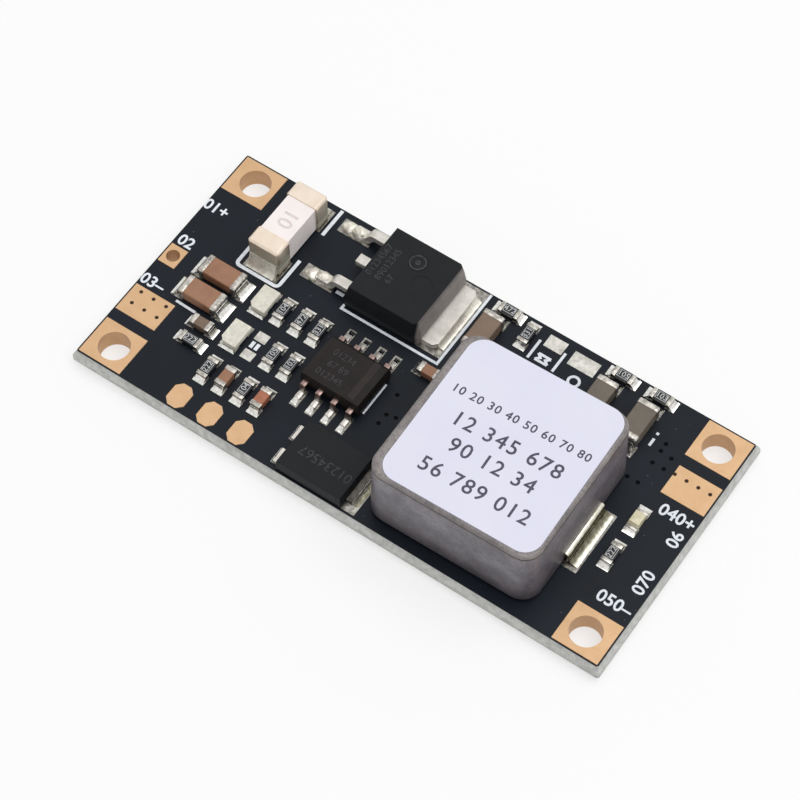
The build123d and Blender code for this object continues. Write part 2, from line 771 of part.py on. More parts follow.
def diode_lands():
    anode_length = DIODE_LEAD_REACH + DIODE_ANODE_TOE + LAND_HEEL
    anode_x = -DIODE_LENGTH / 2 + LAND_HEEL - anode_length / 2
    anode_width = DIODE_ANODE_WIDTH + 2 * LAND_SIDE
    lands = []
    for y in (-DIODE_ANODE_PITCH / 2, DIODE_ANODE_PITCH / 2):
        lands.append(slab(anode_length, anode_width, LAND_THICKNESS, x=anode_x, y=y))
    length = DIODE_LEAD_REACH + DIODE_CATHODE_TOE + DIODE_CATHODE_INSIDE
    x = DIODE_LENGTH / 2 + DIODE_LEAD_REACH + DIODE_CATHODE_TOE - length / 2
    lands.append(slab(length, DIODE_CATHODE_LAND_WIDTH, LAND_THICKNESS, x=x))
    return lands


def diode_solder():
    face = DIODE_LENGTH / 2 + DIODE_LEAD_REACH
    rise = DIODE_LEAD_THICKNESS * LEAD_SOLDER_RISE
    ramps = [solder_ramp(face, DIODE_CATHODE_TOE * LEAD_SOLDER_REACH, rise, DIODE_CATHODE_WIDTH)]
    anode = solder_ramp(face, DIODE_ANODE_TOE, rise, DIODE_ANODE_WIDTH).mirror(Plane.YZ)
    return ramps + [Pos(0, y, 0) * anode for y in (-DIODE_ANODE_PITCH / 2, DIODE_ANODE_PITCH / 2)]


# Controller, drawn with its leads towards +Y and -Y


def controller_lead():
    """One lead at the plus end of its own X axis."""
    body_edge = CONTROLLER_WIDTH / 2
    toe = CONTROLLER_LEAD_SPAN / 2
    low = CONTROLLER_LEAD_THICKNESS / 2
    path = Polyline(
        (body_edge - LEAD_INSIDE, CONTROLLER_PARTING),
        (body_edge + CONTROLLER_LEAD_SHOULDER, CONTROLLER_PARTING),
        (toe - CONTROLLER_LEAD_FOOT, low),
        (toe, low),
    )
    return bent_strip(path, CONTROLLER_LEAD_THICKNESS, CONTROLLER_LEAD_WIDTH)


def lead_row(piece, side):
    """A piece drawn for one lead along +X, repeated along a long side of the controller."""
    first = -(CONTROLLER_LEADS_A_SIDE - 1) / 2 * CONTROLLER_LEAD_PITCH
    places = [first + index * CONTROLLER_LEAD_PITCH for index in range(CONTROLLER_LEADS_A_SIDE)]
    return [Pos(x, 0, 0) * Rot(0, 0, 90 * side) * piece for x in places]


def both_rows(piece):
    return lead_row(piece, -1) + lead_row(piece, 1)


def controller_body():
    outline = Rectangle(CONTROLLER_LENGTH, CONTROLLER_WIDTH)
    body = drafted_body(
        outline,
        CONTROLLER_PARTING,
        CONTROLLER_HEIGHT,
        CONTROLLER_DRAFT,
        CONTROLLER_DRAFT,
        bottom=CONTROLLER_STANDOFF,
    )
    top_edges = body.faces().sort_by(Axis.Z)[-1].edges()
    body = chamfer(top_edges.sort_by(Axis.Y)[-1], CONTROLLER_BEVEL)
    return body - both_rows(controller_lead())


def controller_lands():
    x = CONTROLLER_LEAD_SPAN / 2 + CONTROLLER_TOE - CONTROLLER_LAND_LENGTH / 2
    return both_rows(slab(CONTROLLER_LAND_LENGTH, CONTROLLER_LAND_WIDTH, LAND_THICKNESS, x=x))


def controller_solder():
    reach = CONTROLLER_TOE * LEAD_SOLDER_REACH
    rise = CONTROLLER_LEAD_THICKNESS * LEAD_SOLDER_RISE
    return both_rows(solder_ramp(CONTROLLER_LEAD_SPAN / 2, reach, rise, CONTROLLER_LEAD_WIDTH))


# White chips and the indicator light


def white_chip():
    outline = Rectangle(WHITE_CHIP_LENGTH, WHITE_CHIP_WIDTH)
    cut_corner = outline.vertices().group_by(Axis.X)[0].sort_by(Axis.Y)[-1]
    outline = chamfer(cut_corner, WHITE_CHIP_CORNER)
    body = extrude(outline, WHITE_CHIP_HEIGHT - WHITE_CHIP_FOOT_HEIGHT)
    return Pos(0, 0, WHITE_CHIP_FOOT_HEIGHT) * body


def white_chip_feet():
    x = WHITE_CHIP_LENGTH / 2 + WHITE_CHIP_FOOT_REACH - WHITE_CHIP_FOOT_LENGTH / 2
    width = WHITE_CHIP_WIDTH - 2 * WHITE_CHIP_FOOT_REACH
    return both_ends(slab(WHITE_CHIP_FOOT_LENGTH, width, WHITE_CHIP_FOOT_HEIGHT, x=x))


def white_chip_lands():
    length = WHITE_CHIP_TOE + WHITE_CHIP_FOOT_LENGTH
    x = WHITE_CHIP_LENGTH / 2 + WHITE_CHIP_TOE - length / 2
    return both_ends(slab(length, WHITE_CHIP_WIDTH, LAND_THICKNESS, x=x))


def white_chip_solder():
    face = WHITE_CHIP_LENGTH / 2 + WHITE_CHIP_FOOT_REACH
    reach = WHITE_CHIP_TOE - WHITE_CHIP_FOOT_REACH
    width = WHITE_CHIP_WIDTH - 4 * WHITE_CHIP_FOOT_REACH
    return both_ends(solder_ramp(face, reach, WHITE_CHIP_FOOT_HEIGHT, width))


def lamp_cap():
    """The plated end of the light's base, as high as the base."""
    x = (LAMP_LENGTH - LAMP_CAP_LENGTH) / 2
    return slab(LAMP_CAP_LENGTH, LAMP_WIDTH, LAMP_BASE_HEIGHT, x=x)


def lamp_body():
    """The base between its plated ends, with the lens moulded on it."""
    base = slab(LAMP_LENGTH - 2 * LAMP_CAP_LENGTH, LAMP_WIDTH, LAMP_BASE_HEIGHT)
    lens_outline = Pos(0, 0, LAMP_BASE_HEIGHT) * Rectangle(LAMP_LENS_LENGTH, LAMP_WIDTH)
    return base + extrude(lens_outline, LAMP_LENS_HEIGHT, taper=LAMP_LENS_DRAFT)


def lamp_size():
    """The light's base as a chip, for its lands and solder."""
    return ChipSize(LAMP_LENGTH, LAMP_WIDTH, LAMP_BASE_HEIGHT, LAMP_CAP_LENGTH, wall=0, toe=SMALL_TOE)


# Lands and solder of the whole board


def chips_with_ends():
    """Every two-ended chip with plain lands: its size and spot."""
    resistors = [(RESISTOR_SIZE, spot) for spot in RESISTORS]
    return [*CAPACITORS, *resistors, (lamp_size(), LAMP_SPOT)]


def joints():
    """Every soldered part: its lands, its solder and its spot."""
    chips = [(chip_lands(size), chip_solder(size), spot) for size, spot in chips_with_ends()]
    whites = [(white_chip_lands(), white_chip_solder(), spot) for spot in WHITE_CHIP_SPOTS]
    return [
        *chips,
        *whites,
        (fuse_lands(), fuse_solder(), FUSE_SPOT),
        (inductor_lands(), inductor_solder(), INDUCTOR_SPOT),
        (mosfet_lands(), mosfet_solder(), MOSFET_SPOT),
        (diode_lands(), diode_solder(), DIODE_SPOT),
        (controller_lands(), controller_solder(), CONTROLLER_SPOT),
    ]


def make_bare_lands():
    lands = [on_face(slab(length, width, LAND_THICKNESS), spot) for length, width, spot in BARE_LANDS]
    return lands + [on_face(land, EMPTY_SPOT) for land in chip_lands(RESISTOR_SIZE)]


def board_nodes():
    """The board's own pieces by their nodes' names."""
    nodes = {
        "circuit_board": make_board(),
        "solder_mask_top": make_top_mask(),
        "solder_mask_bottom": make_bottom_mask(),
        "terminal_enable": make_enable_terminal(),
        "strap_pad_input": make_strap_pad(-1, INPUT_VIAS),
        "strap_pad_output": make_strap_pad(1, OUTPUT_VIAS),
        "test_pads": make_test_pads(),
        "tinned_lands": [on_face(land, spot) for lands, _, spot in joints() for land in lands],
        "bare_lands": make_bare_lands(),
        "solder_joints": [seated(ramp, spot) for _, solder, spot in joints() for ramp in solder],
    }
    for name, side_x, side_y in corner_signs():
        nodes[f"terminal_{name}"] = make_corner_terminal(side_x, side_y)
    return nodes


def chip_nodes():
    """The two-ended chips by their nodes' names."""
    nodes = {}
    for number, (size, spot) in enumerate(CAPACITORS, 1):
        nodes[f"capacitor_{number}"] = seated(chip_core(size), spot)
    for number, spot in enumerate(RESISTORS, 1):
        nodes[f"resistor_{number}"] = seated(resistor_body(RESISTOR_SIZE), spot)
    for number, spot in enumerate(WHITE_CHIP_SPOTS, 1):
        nodes[f"white_chip_{number}"] = seated(white_chip(), spot)
    capacitor_caps = [seated(cap, spot) for size, spot in CAPACITORS for cap in both_ends(chip_cap(size))]
    resistor_caps = [seated(cap, spot) for spot in RESISTORS for cap in both_ends(chip_cap(RESISTOR_SIZE))]
    nodes["capacitor_caps"] = capacitor_caps
    nodes["resistor_caps"] = resistor_caps
    nodes["white_chip_feet"] = [seated(foot, spot) for spot in WHITE_CHIP_SPOTS for foot in white_chip_feet()]
    nodes["lamp_body"] = seated(lamp_body(), LAMP_SPOT)
    nodes["lamp_caps"] = [seated(cap, LAMP_SPOT) for cap in both_ends(lamp_cap())]
    return nodes


def package_nodes():
    """The fuse, the inductor and the moulded packages by their nodes' names."""
    back_cap, front_cap = both_ends(fuse_cap())
    output_strap, input_strap = both_ends(inductor_strap())
    return {
        "fuse_tube": seated(fuse_tube(), FUSE_SPOT),
        "fuse_cap_back": seated(back_cap, FUSE_SPOT),
        "fuse_cap_front": seated(front_cap, FUSE_SPOT),
        "inductor_core": seated(inductor_core(), INDUCTOR_SPOT),
        "inductor_label": seated(inductor_label(), INDUCTOR_SPOT),
        "inductor_strap_output": seated(output_strap, INDUCTOR_SPOT),
        "inductor_strap_input": seated(input_strap, INDUCTOR_SPOT),
        "mosfet_body": seated(mosfet_body(), MOSFET_SPOT),
        "mosfet_tab": seated(mosfet_tab(), MOSFET_SPOT),
        "mosfet_leads": [seated(lead, MOSFET_SPOT) for lead in mosfet_leads()],
        "diode_body": seated(diode_body(), DIODE_SPOT),
        "diode_anode_leads": [seated(lead, DIODE_SPOT) for lead in diode_anodes()],
        "diode_cathode_lead": seated(diode_cathode(), DIODE_SPOT),
        "controller_body": seated(controller_body(), CONTROLLER_SPOT),
        "controller_leads_front": [seated(lead, CONTROLLER_SPOT) for lead in lead_row(controller_lead(), -1)],
        "controller_leads_back": [seated(lead, CONTROLLER_SPOT) for lead in lead_row(controller_lead(), 1)],
    }


def main():
    os.makedirs("parts", exist_ok=True)
    nodes = {**board_nodes(), **chip_nodes(), **package_nodes()}
    for name, shape in nodes.items():
        part = Compound(children=shape) if isinstance(shape, list) else shape
        export_step(part, f"parts/{name}.step")


main()
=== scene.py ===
import logging
import math
from collections.abc import Callable, Iterable, Iterator
from contextlib import contextmanager
from dataclasses import dataclass, field, replace
from enum import Enum

import bmesh
import bpy
from mathutils import Matrix, Vector


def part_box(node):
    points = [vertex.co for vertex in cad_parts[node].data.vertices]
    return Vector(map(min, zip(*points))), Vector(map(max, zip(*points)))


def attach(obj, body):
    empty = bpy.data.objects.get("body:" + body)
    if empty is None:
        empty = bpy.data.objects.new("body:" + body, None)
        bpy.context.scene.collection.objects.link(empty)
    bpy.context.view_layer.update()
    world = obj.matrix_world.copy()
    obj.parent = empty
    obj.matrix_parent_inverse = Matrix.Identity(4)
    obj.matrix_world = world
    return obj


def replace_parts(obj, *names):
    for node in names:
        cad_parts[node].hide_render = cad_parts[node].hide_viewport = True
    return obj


# Looks of a buck converter module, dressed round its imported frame. Sizes in the classes are in
# millimetres, in the frame's own axes: +X to the output end, +Y to the plus edge, +Z up.
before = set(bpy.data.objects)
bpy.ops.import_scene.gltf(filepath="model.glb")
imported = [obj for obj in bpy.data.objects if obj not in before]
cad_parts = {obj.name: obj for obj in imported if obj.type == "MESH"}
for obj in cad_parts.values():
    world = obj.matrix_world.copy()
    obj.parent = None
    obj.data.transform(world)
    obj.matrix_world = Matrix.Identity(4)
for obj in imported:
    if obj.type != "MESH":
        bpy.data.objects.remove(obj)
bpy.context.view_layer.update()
LOG = logging.getLogger("module")

Piece = bpy.types.Object
Material = bpy.types.Material
Tree = bpy.types.NodeTree
Socket = bpy.types.NodeSocket
EditMesh = bmesh.types.BMesh
Edge = bmesh.types.BMEdge

MM = 0.001
BODY = "root"
MERGE_MM = 0.001
SOFT_ANGLE = math.radians(30)
SMOOTH_ANGLE = math.radians(38)
PLANAR_ANGLE = math.radians(0.5)
RING_SIDES = 40
IMAGE_SIZE = 800
UP = Vector((0, 0, 1))


class Element(Enum):
    """What an edit-mode selection holds."""

    VERT = "VERT"
    EDGE = "EDGE"
    FACE = "FACE"


class Along(Enum):
    """Board axis that a part or a line of print follows, by its turn in degrees."""

    LENGTH = 0.0
    WIDTH = 90.0


# Modelling


def focus(piece: Piece) -> None:
    """Deselects everything, then selects and activates one piece.

    Args:
        piece: The piece to work on.
    """
    bpy.ops.object.select_all(action="DESELECT")
    piece.select_set(True)
    bpy.context.view_layer.objects.active = piece


@contextmanager
def edit_mode(piece: Piece, element: Element = Element.FACE) -> Iterator[EditMesh]:
    """Opens a piece in edit mode with nothing selected.

    Args:
        piece: The piece to shape.
        element: What the selection holds.

    Returns:
        The edit mesh, for picking elements by their place or normal.
    """
    focus(piece)
    bpy.ops.object.mode_set(mode="EDIT")
    bpy.ops.mesh.select_mode(type=element.value)
    bpy.ops.mesh.select_all(action="DESELECT")
    yield bmesh.from_edit_mesh(piece.data)
    bpy.ops.object.mode_set(mode="OBJECT")


def pick(piece: Piece, elements: Iterable, test: Callable[..., bool]) -> None:
    """Selects the elements that pass a test, in edit mode.

    Args:
        piece: The piece in edit mode.
        elements: Its edit mesh's vertices, edges or faces.
        test: Says of one element whether it is wanted.
    """
    for element in elements:
        if test(element):
            element.select_set(True)
    bmesh.update_edit_mesh(piece.data)


def take_all() -> None:
    """Selects everything in edit mode."""
    bpy.ops.mesh.select_all(action="SELECT")


def face_outwards() -> None:
    """Selects everything in edit mode and turns its faces outwards."""
    take_all()
    bpy.ops.mesh.normals_make_consistent(inside=False)


def middle(edge: Edge) -> Vector:
    """The middle of an edge."""
    return (edge.verts[0].co + edge.verts[1].co) / 2


def add_shape(name: str, add: Callable[..., object], **settings: object) -> Piece:
    """Adds a primitive with nothing else selected.

    Args:
        name: The new piece's name.
        add: The operator that adds it.
        **settings: The operator's settings.

    Returns:
        The new piece.
    """
    bpy.ops.object.select_all(action="DESELECT")
    add(**settings)
    piece = bpy.context.active_object
    piece.name = name
    return piece


def settle(piece: Piece) -> Piece:
    """Puts a piece's place, turn and scale into its mesh.

    Args:
        piece: The piece.

    Returns:
        The same piece.
    """
    focus(piece)
    bpy.ops.object.transform_apply(location=True, rotation=True, scale=True)
    return piece


def add_box(name: str, size: Vector, centre: Vector) -> Piece:
    """Adds a block as a start for a piece.

    Args:
        name: The piece's name.
        size: Its size in millimetres.
        centre: Its centre in millimetres.

    Returns:
        The block, with its place in its mesh.
    """
    return settle(
        add_shape(name, bpy.ops.mesh.primitive_cube_add, size=1, location=centre * MM, scale=size * MM)
    )


def refine(piece: Piece, kind: str, **settings: object) -> Piece:
    """Adds a modifier to a piece and applies it.

    Args:
        piece: The piece to finish.
        kind: The modifier's type.
        **settings: The modifier's settings.

    Returns:
        The same piece.
    """
    modifier = piece.modifiers.new(kind.title(), kind)
    for key, value in settings.items():
        setattr(modifier, key, value)
    focus(piece)
    bpy.ops.object.modifier_apply(modifier=modifier.name)
    return piece


def smooth(piece: Piece, angle: float = SMOOTH_ANGLE) -> Piece:
    """Shades a piece smooth except at its sharp edges.

    Args:
        piece: The piece.
        angle: The angle from which an edge stays sharp.

    Returns:
        The same piece.
    """
    focus(piece)
    bpy.ops.object.shade_smooth_by_angle(angle=angle)
    return piece


def round_edges(piece: Piece, radius: float, segments: int = 2) -> Piece:
    """Rounds every sharp edge of a piece.

    Args:
        piece: The piece to round.
        radius: The rounding in millimetres.
        segments: Faces across each rounding.

    Returns:
        The same piece, shaded smooth.
    """
    refine(
        piece, "BEVEL", width=radius * MM, segments=segments, limit_method="ANGLE", angle_limit=SOFT_ANGLE
    )
    smooth(piece)
    return refine(piece, "WEIGHTED_NORMAL", keep_sharp=True)


def copy_piece(piece: Piece, place: Matrix) -> Piece:
    """Copies a piece with a mesh of its own, moved by a matrix in metres.

    Args:
        piece: The piece to copy.
        place: Where the copy goes.

    Returns:
        The copy.
    """
    twin = piece.copy()
    twin.data = piece.data.copy()
    twin.data.transform(place)
    bpy.context.collection.objects.link(twin)
    return twin


def join(name: str, pieces: list[Piece]) -> Piece:
    """Joins pieces into one, under a new name.

    Args:
        name: The joined piece's name.
        pieces: The pieces, which are used up.

    Returns:
        The joined piece.
    """
    bpy.ops.object.select_all(action="DESELECT")
    for piece in pieces:
        piece.select_set(True)
    bpy.context.view_layer.objects.active = pieces[0]
    if len(pieces) > 1:
        bpy.ops.object.join()
    joined = bpy.context.active_object
    joined.name = name
    return joined


def drop(piece: Piece) -> None:
    """Removes a piece that was only a pattern for copies."""
    bpy.data.objects.remove(piece, do_unlink=True)


def cad_copy(node: str, name: str) -> Piece:
    """Copies a CAD node's mesh into a new piece, merged into clean faces.

    Args:
        node: The CAD node's name.
        name: The new piece's name.

    Returns:
        The new piece.
    """
    piece = bpy.data.objects.new(name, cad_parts[node].data.copy())
    bpy.context.collection.objects.link(piece)
    piece.data.materials.clear()
    focus(piece)
    bpy.ops.mesh.customdata_custom_splitnormals_clear()
    with edit_mode(piece, Element.VERT):
        take_all()
        bpy.ops.mesh.remove_doubles(threshold=MERGE_MM * MM)
        bpy.ops.mesh.dissolve_limited(angle_limit=PLANAR_ANGLE)
    return piece


def place_of(node: str) -> tuple[Vector, Vector]:
    """Centre and size of a CAD node's box, in millimetres."""
    low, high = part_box(node)
    return (low + high) / 2 / MM, (high - low) / MM


def top_of(node: str) -> Vector:
    """Centre of the top of a CAD node's box, in millimetres."""
    centre, size = place_of(node)
    return centre + UP * (size.z / 2)


def move_mm(x: float, y: float, z: float) -> Matrix:
    """A move in millimetres."""
    return Matrix.Translation(Vector((x, y, z)) * MM)


def turn_about_z(degrees: float) -> Matrix:
    """A turn about the vertical."""
    return Matrix.Rotation(math.radians(degrees), 4, "Z")


def stretch(x: float, y: float, z: float) -> Matrix:
    """A scaling along the three axes."""
    return Matrix.Diagonal((x, y, z, 1.0))


# Materials


def linear(hex_colour: str) -> tuple[float, float, float, float]:
    """Turns an sRGB hex colour into the linear colour that a shader takes.

    Args:
        hex_colour: The colour, as a hash sign and six hex digits.

    Returns:
        The linear colour, with an alpha of one.
    """
    channels = [int(hex_colour[i : i + 2], 16) / 255 for i in (1, 3, 5)]
    values = [c / 12.92 if c <= 0.04045 else ((c + 0.055) / 1.055) ** 2.4 for c in channels]
    return (*values, 1.0)


def per_mm(size: float) -> float:
    """Texture scale of a pattern whose features have a size in millimetres."""
    return 1 / (size * MM)


def add_node(
    tree: Tree,
    kind: str,
    values: dict | None = None,
    links: dict | None = None,
    **options: object,
) -> bpy.types.Node:
    """Adds one node.

    Args:
        tree: The material's or world's node tree.
        kind: The node's type.
        values: Input name or number to its constant value.
        links: Input name or number to the output socket that feeds it.
        **options: The node's own settings.

    Returns:
        The node.
    """
    node = tree.nodes.new(kind)
    for key, value in options.items():
        setattr(node, key, value)
    for key, value in (values or {}).items():
        node.inputs[key].default_value = value
    for key, socket in (links or {}).items():
        tree.links.new(socket, node.inputs[key])
    return node


def remap(
    tree: Tree, value: Socket, start: float, end: float, low: float = 0.0, high: float = 1.0
) -> Socket:
    """Adds a node that maps one range of values onto another.

    Args:
        tree: The node tree.
        value: The value's socket.
        start: What the low value becomes.
        end: What the high value becomes.
        low: The value that gives the start.
        high: The value that gives the end.

    Returns:
        The new value's socket.
    """
    values = {"From Min": low, "From Max": high, "To Min": start, "To Max": end}
    return add_node(tree, "ShaderNodeMapRange", values, {"Value": value}).outputs["Result"]


def lay_over(tree: Tree, base: Socket, colour: str, share: Socket) -> Socket:
    """Adds a node that lays a second colour over a first.

    Args:
        tree: The material's node tree.
        base: The first colour's socket.
        colour: The second colour.
        share: The socket that says how much of the second colour shows.

    Returns:
        The mixed colour's socket.
    """
    mix = add_node(tree, "ShaderNodeMix", {7: linear(colour)}, {0: share, 6: base}, data_type="RGBA")
    return mix.outputs[2]


def either(tree: Tree, first: Socket, second: Socket) -> Socket:
    """Adds a node that gives the larger of two values."""
    return add_node(tree, "ShaderNodeMath", links={0: first, 1: second}, operation="MAXIMUM").outputs[0]


@dataclass(frozen=True)
class Finish:
    """A real material: its colours, gloss and grain.

    The colour drifts between two close shades in patches, and a fine grain breaks up the gloss
    and lies on the surface as relief. All sizes are in millimetres.
    """

    name: str
    slot: str
    colour: str
    second: str
    roughness: float
    metallic: float = 0.0
    specular: float = 0.5
    coat: float = 0.0
    coat_roughness: float = 0.15
    patch: float = 1.0
    patch_low: float = 0.35
    patch_high: float = 0.65
    grain: float = 0.05
    relief: float = 0.004
    roughness_spread: float = 0.1
    gloss_to_grain: float = 3.0
    cloud_detail: float = 3.0
    cloud_roughness: float = 0.6

    def material(self) -> Material:
        """Gives the finish's material, made the first time that it is asked for."""
        made = bpy.data.materials.get(self.name)
        return made if made else self.build()

    def build(self) -> Material:
        """Builds the finish's node tree.

        Returns:
            The new material.
        """
        material = bpy.data.materials.new(self.name)
        material.use_nodes = True
        tree = material.node_tree
        tree.nodes.clear()
        place = add_node(tree, "ShaderNodeTexCoord").outputs["Object"]
        shader = add_node(
            tree,
            "ShaderNodeBsdfPrincipled",
            values={
                "Metallic": self.metallic,
                "Specular IOR Level": self.specular,
                "Coat Weight": self.coat,
                "Coat Roughness": self.coat_roughness,
            },
            links={
                "Base Color": self.colour_socket(tree, place),
                "Roughness": self.roughness_socket(tree, place),
                "Normal": self.relief_socket(tree, place),
            },
        )
        add_node(tree, "ShaderNodeOutputMaterial", links={"Surface": shader.outputs["BSDF"]})
        return material

    def noise(self, tree: Tree, place: Socket, size: float) -> Socket:
        """Adds a cloudy pattern whose features have a size in millimetres."""
        values = {"Scale": per_mm(size), "Detail": self.cloud_detail, "Roughness": self.cloud_roughness}
        return add_node(tree, "ShaderNodeTexNoise", values, {"Vector": place}).outputs["Fac"]

    def colour_socket(self, tree: Tree, place: Socket) -> Socket:
        """The surface colour, in patches of two shades.

        Args:
            tree: The material's node tree.
            place: The socket of the place on the surface.

        Returns:
            The colour's socket.
        """
        patches = self.noise(tree, place, self.patch)
        ramp = add_node(tree, "ShaderNodeValToRGB", links={"Fac": patches})
        ramp.color_ramp.elements[0].position = self.patch_low
        ramp.color_ramp.elements[0].color = linear(self.colour)
        ramp.color_ramp.elements[1].position = self.patch_high
        ramp.color_ramp.elements[1].color = linear(self.second)
        return ramp.outputs["Color"]

    def roughness_socket(self, tree: Tree, place: Socket) -> Socket:
        """The roughness, which drifts with the grain.

        Args:
            tree: The material's node tree.
            place: The socket of the place on the surface.

        Returns:
            The roughness's socket.
        """
        spread = self.roughness_spread
        grain = self.noise(tree, place, self.grain * self.gloss_to_grain)
        return remap(tree, grain, self.roughness - spread, self.roughness + spread)

    def relief_socket(self, tree: Tree, place: Socket) -> Socket:
        """The surface's fine relief.

        Args:
            tree: The material's node tree.
            place: The socket of the place on the surface.

        Returns:
            The normal's socket.
        """
        values = {"Strength": 1.0, "Distance": self.relief * MM}
        grain = self.noise(tree, place, self.grain)
        return add_node(tree, "ShaderNodeBump", values, {"Height": grain}).outputs["Normal"]

    def dress(self, piece: Piece) -> Piece:
        """Gives a new piece this finish and its body.

        Args:
            piece: The piece.

        Returns:
            The same piece.
        """
        piece.data.materials.clear()
        piece.data.materials.append(self.material())
        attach(piece, BODY)
        return piece

    def paint(self, *nodes: str) -> None:
        """Gives CAD nodes this finish in their own material slots.

        Args:
            *nodes: The nodes' names.
        """
        for node in nodes:
            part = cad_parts[node]
            if not part.material_slots:
                part.data.materials.append(None)
            part.material_slots[0].material = self.material()


@dataclass(frozen=True)
class DustyFinish(Finish):
    """A dark coat with a few pale specks of dust or flux on it."""

    speck: str = "#8a9098"
    speck_spacing: float = 0.9
    speck_radius: float = 0.05
    speck_core: float = 0.025
    speck_strength: float = 0.5

    def colour_socket(self, tree: Tree, place: Socket) -> Socket:
        """The coat's colour with specks where a cell pattern comes near its points.

        Args:
            tree: The material's node tree.
            place: The socket of the place on the surface.

        Returns:
            The colour's socket.
        """
        coat = super().colour_socket(tree, place)
        cells = add_node(
            tree, "ShaderNodeTexVoronoi", {"Scale": per_mm(self.speck_spacing)}, {"Vector": place}
        )
        near = remap(
            tree, cells.outputs["Distance"], 0.0, self.speck_strength, self.speck_radius, self.speck_core
        )
        return lay_over(tree, coat, self.speck, near)


@dataclass(frozen=True)
class LayeredFinish(Finish):
    """A laminate's snapped edge: layers of glass cloth lie flat in it and show as fine lines."""

    layer: float = 0.18
    layer_colour: str = "#8f918a"
    layer_strength: float = 0.3
    waviness: float = 3.0
    wave_detail: float = 3.0
    wave_detail_scale: float = 2.5
    bands_per_unit: float = 20.0

    def colour_socket(self, tree: Tree, place: Socket) -> Socket:
        """The resin's colour, crossed by the darker lines of the cloth layers.

        Args:
            tree: The material's node tree.
            place: The socket of the place on the surface.

        Returns:
            The colour's socket.
        """
        resin = super().colour_socket(tree, place)
        values = {
            "Scale": per_mm(self.layer) / self.bands_per_unit,
            "Distortion": self.waviness,
            "Detail": self.wave_detail,
            "Detail Scale": self.wave_detail_scale,
        }
        layers = add_node(tree, "ShaderNodeTexWave", values, {"Vector": place}, bands_direction="Z")
        amount = remap(tree, layers.outputs["Fac"], 0.0, self.layer_strength)
        return lay_over(tree, resin, self.layer_colour, amount)


@dataclass(frozen=True)
class BandedFinish(Finish):
    """A surface whose colour changes along one axis, from stop to stop, under a cloudy tone.

    The stops are places in millimetres with their colours, and the finish's two own colours are
    the tone that they are multiplied by.
    """

    stops: tuple[tuple[float, str], ...] = ()
    axis: str = "Z"

    def colour_socket(self, tree: Tree, place: Socket) -> Socket:
        """The bands' colour times the cloudy tone.

        Args:
            tree: The material's node tree.
            place: The socket of the place on the surface.

        Returns:
            The colour's socket.
        """
        tone = super().colour_socket(tree, place)
        first, last = self.stops[0][0], self.stops[-1][0]
        axes = add_node(tree, "ShaderNodeSeparateXYZ", links={"Vector": place})
        reach = remap(tree, axes.outputs[self.axis], 0.0, 1.0, first * MM, last * MM)
        ramp = add_node(tree, "ShaderNodeValToRGB", links={"Fac": reach})
        elements = ramp.color_ramp.elements
        halfway = 0.5
        for _ in self.stops[2:]:
            elements.new(halfway)
        for element, (position, colour) in zip(elements, self.stops):
            element.position = (position - first) / (last - first)
            element.color = linear(colour)
        mix = add_node(
            tree,
            "ShaderNodeMix",
            {0: 1.0},
            {6: ramp.outputs["Color"], 7: tone},
            data_type="RGBA",
            blend_type="MULTIPLY",
        )
        return mix.outputs[2]


@dataclass(frozen=True)
class SpeckledFinish(BandedFinish):
    """Pressed metal powder: dark and light grains side by side under a thin coat."""

    dark_grain: str = "#433d40"
    grain_size: float = 0.14
    dark_from: float = 0.55
    dark_strength: float = 0.35

    def colour_socket(self, tree: Tree, place: Socket) -> Socket:
        """The powder's colour, grain by grain.

        Args:
            tree: The material's node tree.
            place: The socket of the place on the surface.

        Returns:
            The colour's socket.
        """
        base = super().colour_socket(tree, place)
        grains = add_node(
            tree, "ShaderNodeTexVoronoi", {"Scale": per_mm(self.grain_size)}, {"Vector": place}
        )
        value = add_node(tree, "ShaderNodeSeparateColor", links={"Color": grains.outputs["Color"]})
        amount = remap(tree, value.outputs["Red"], 0.0, self.dark_strength, self.dark_from)
        return lay_over(tree, base, self.dark_grain, amount)


# Epoxy solder mask, screen printed and cured: dark navy, satin, with a faint orange peel
SOLDER_MASK = DustyFinish(
    "screened_epoxy_solder_mask", "solder_mask", "#12171e", "#151b24", 0.4,
    specular=0.16, patch=5.0, grain=0.25, relief=0.002, roughness_spread=0.05,
)
# Woven glass laminate, scored and snapped: a pale, dry, fibrous edge, its fibres drawn as coarse bundles
LAMINATE = LayeredFinish(
    "scored_glass_epoxy_laminate", "laminate", "#b6b7b3", "#cfcfcc", 0.8,
    specular=0.3, patch=0.4, grain=0.15, relief=0.015,
)
# Immersion gold over copper: a soft peach sheen with a fine etched grain
GOLD = Finish(
    "immersion_gold_plate", "gold_plate", "#d2ad86", "#cba67e", 0.5,
    metallic=0.6, patch=1.4, grain=0.07, relief=0.0025,
)
# Tin levelled with hot air: pale, slightly dished and cloudy
LEVELLED_TIN = Finish(
    "hot_air_levelled_tin", "tin", "#cfcdc6", "#a9a79f", 0.4,
    metallic=0.85, patch=0.45, grain=0.3, relief=0.008, roughness_spread=0.14,
)
# Reflowed solder: bright and wet looking, with dark reflections on its slopes
SOLDER = Finish(
    "reflowed_solder", "solder", "#ebeae6", "#c6c4bd", 0.17,
    metallic=1.0, patch=0.25, grain=0.25, relief=0.008, roughness_spread=0.08,
)
# Plated end caps of the chips: matt, uneven tin over fired silver
END_CAP = Finish(
    "barrel_plated_tin_cap", "tin", "#d0ccc4", "#8c8881", 0.34,
    metallic=0.9, patch=0.25, grain=0.16, relief=0.008, roughness_spread=0.12,
)
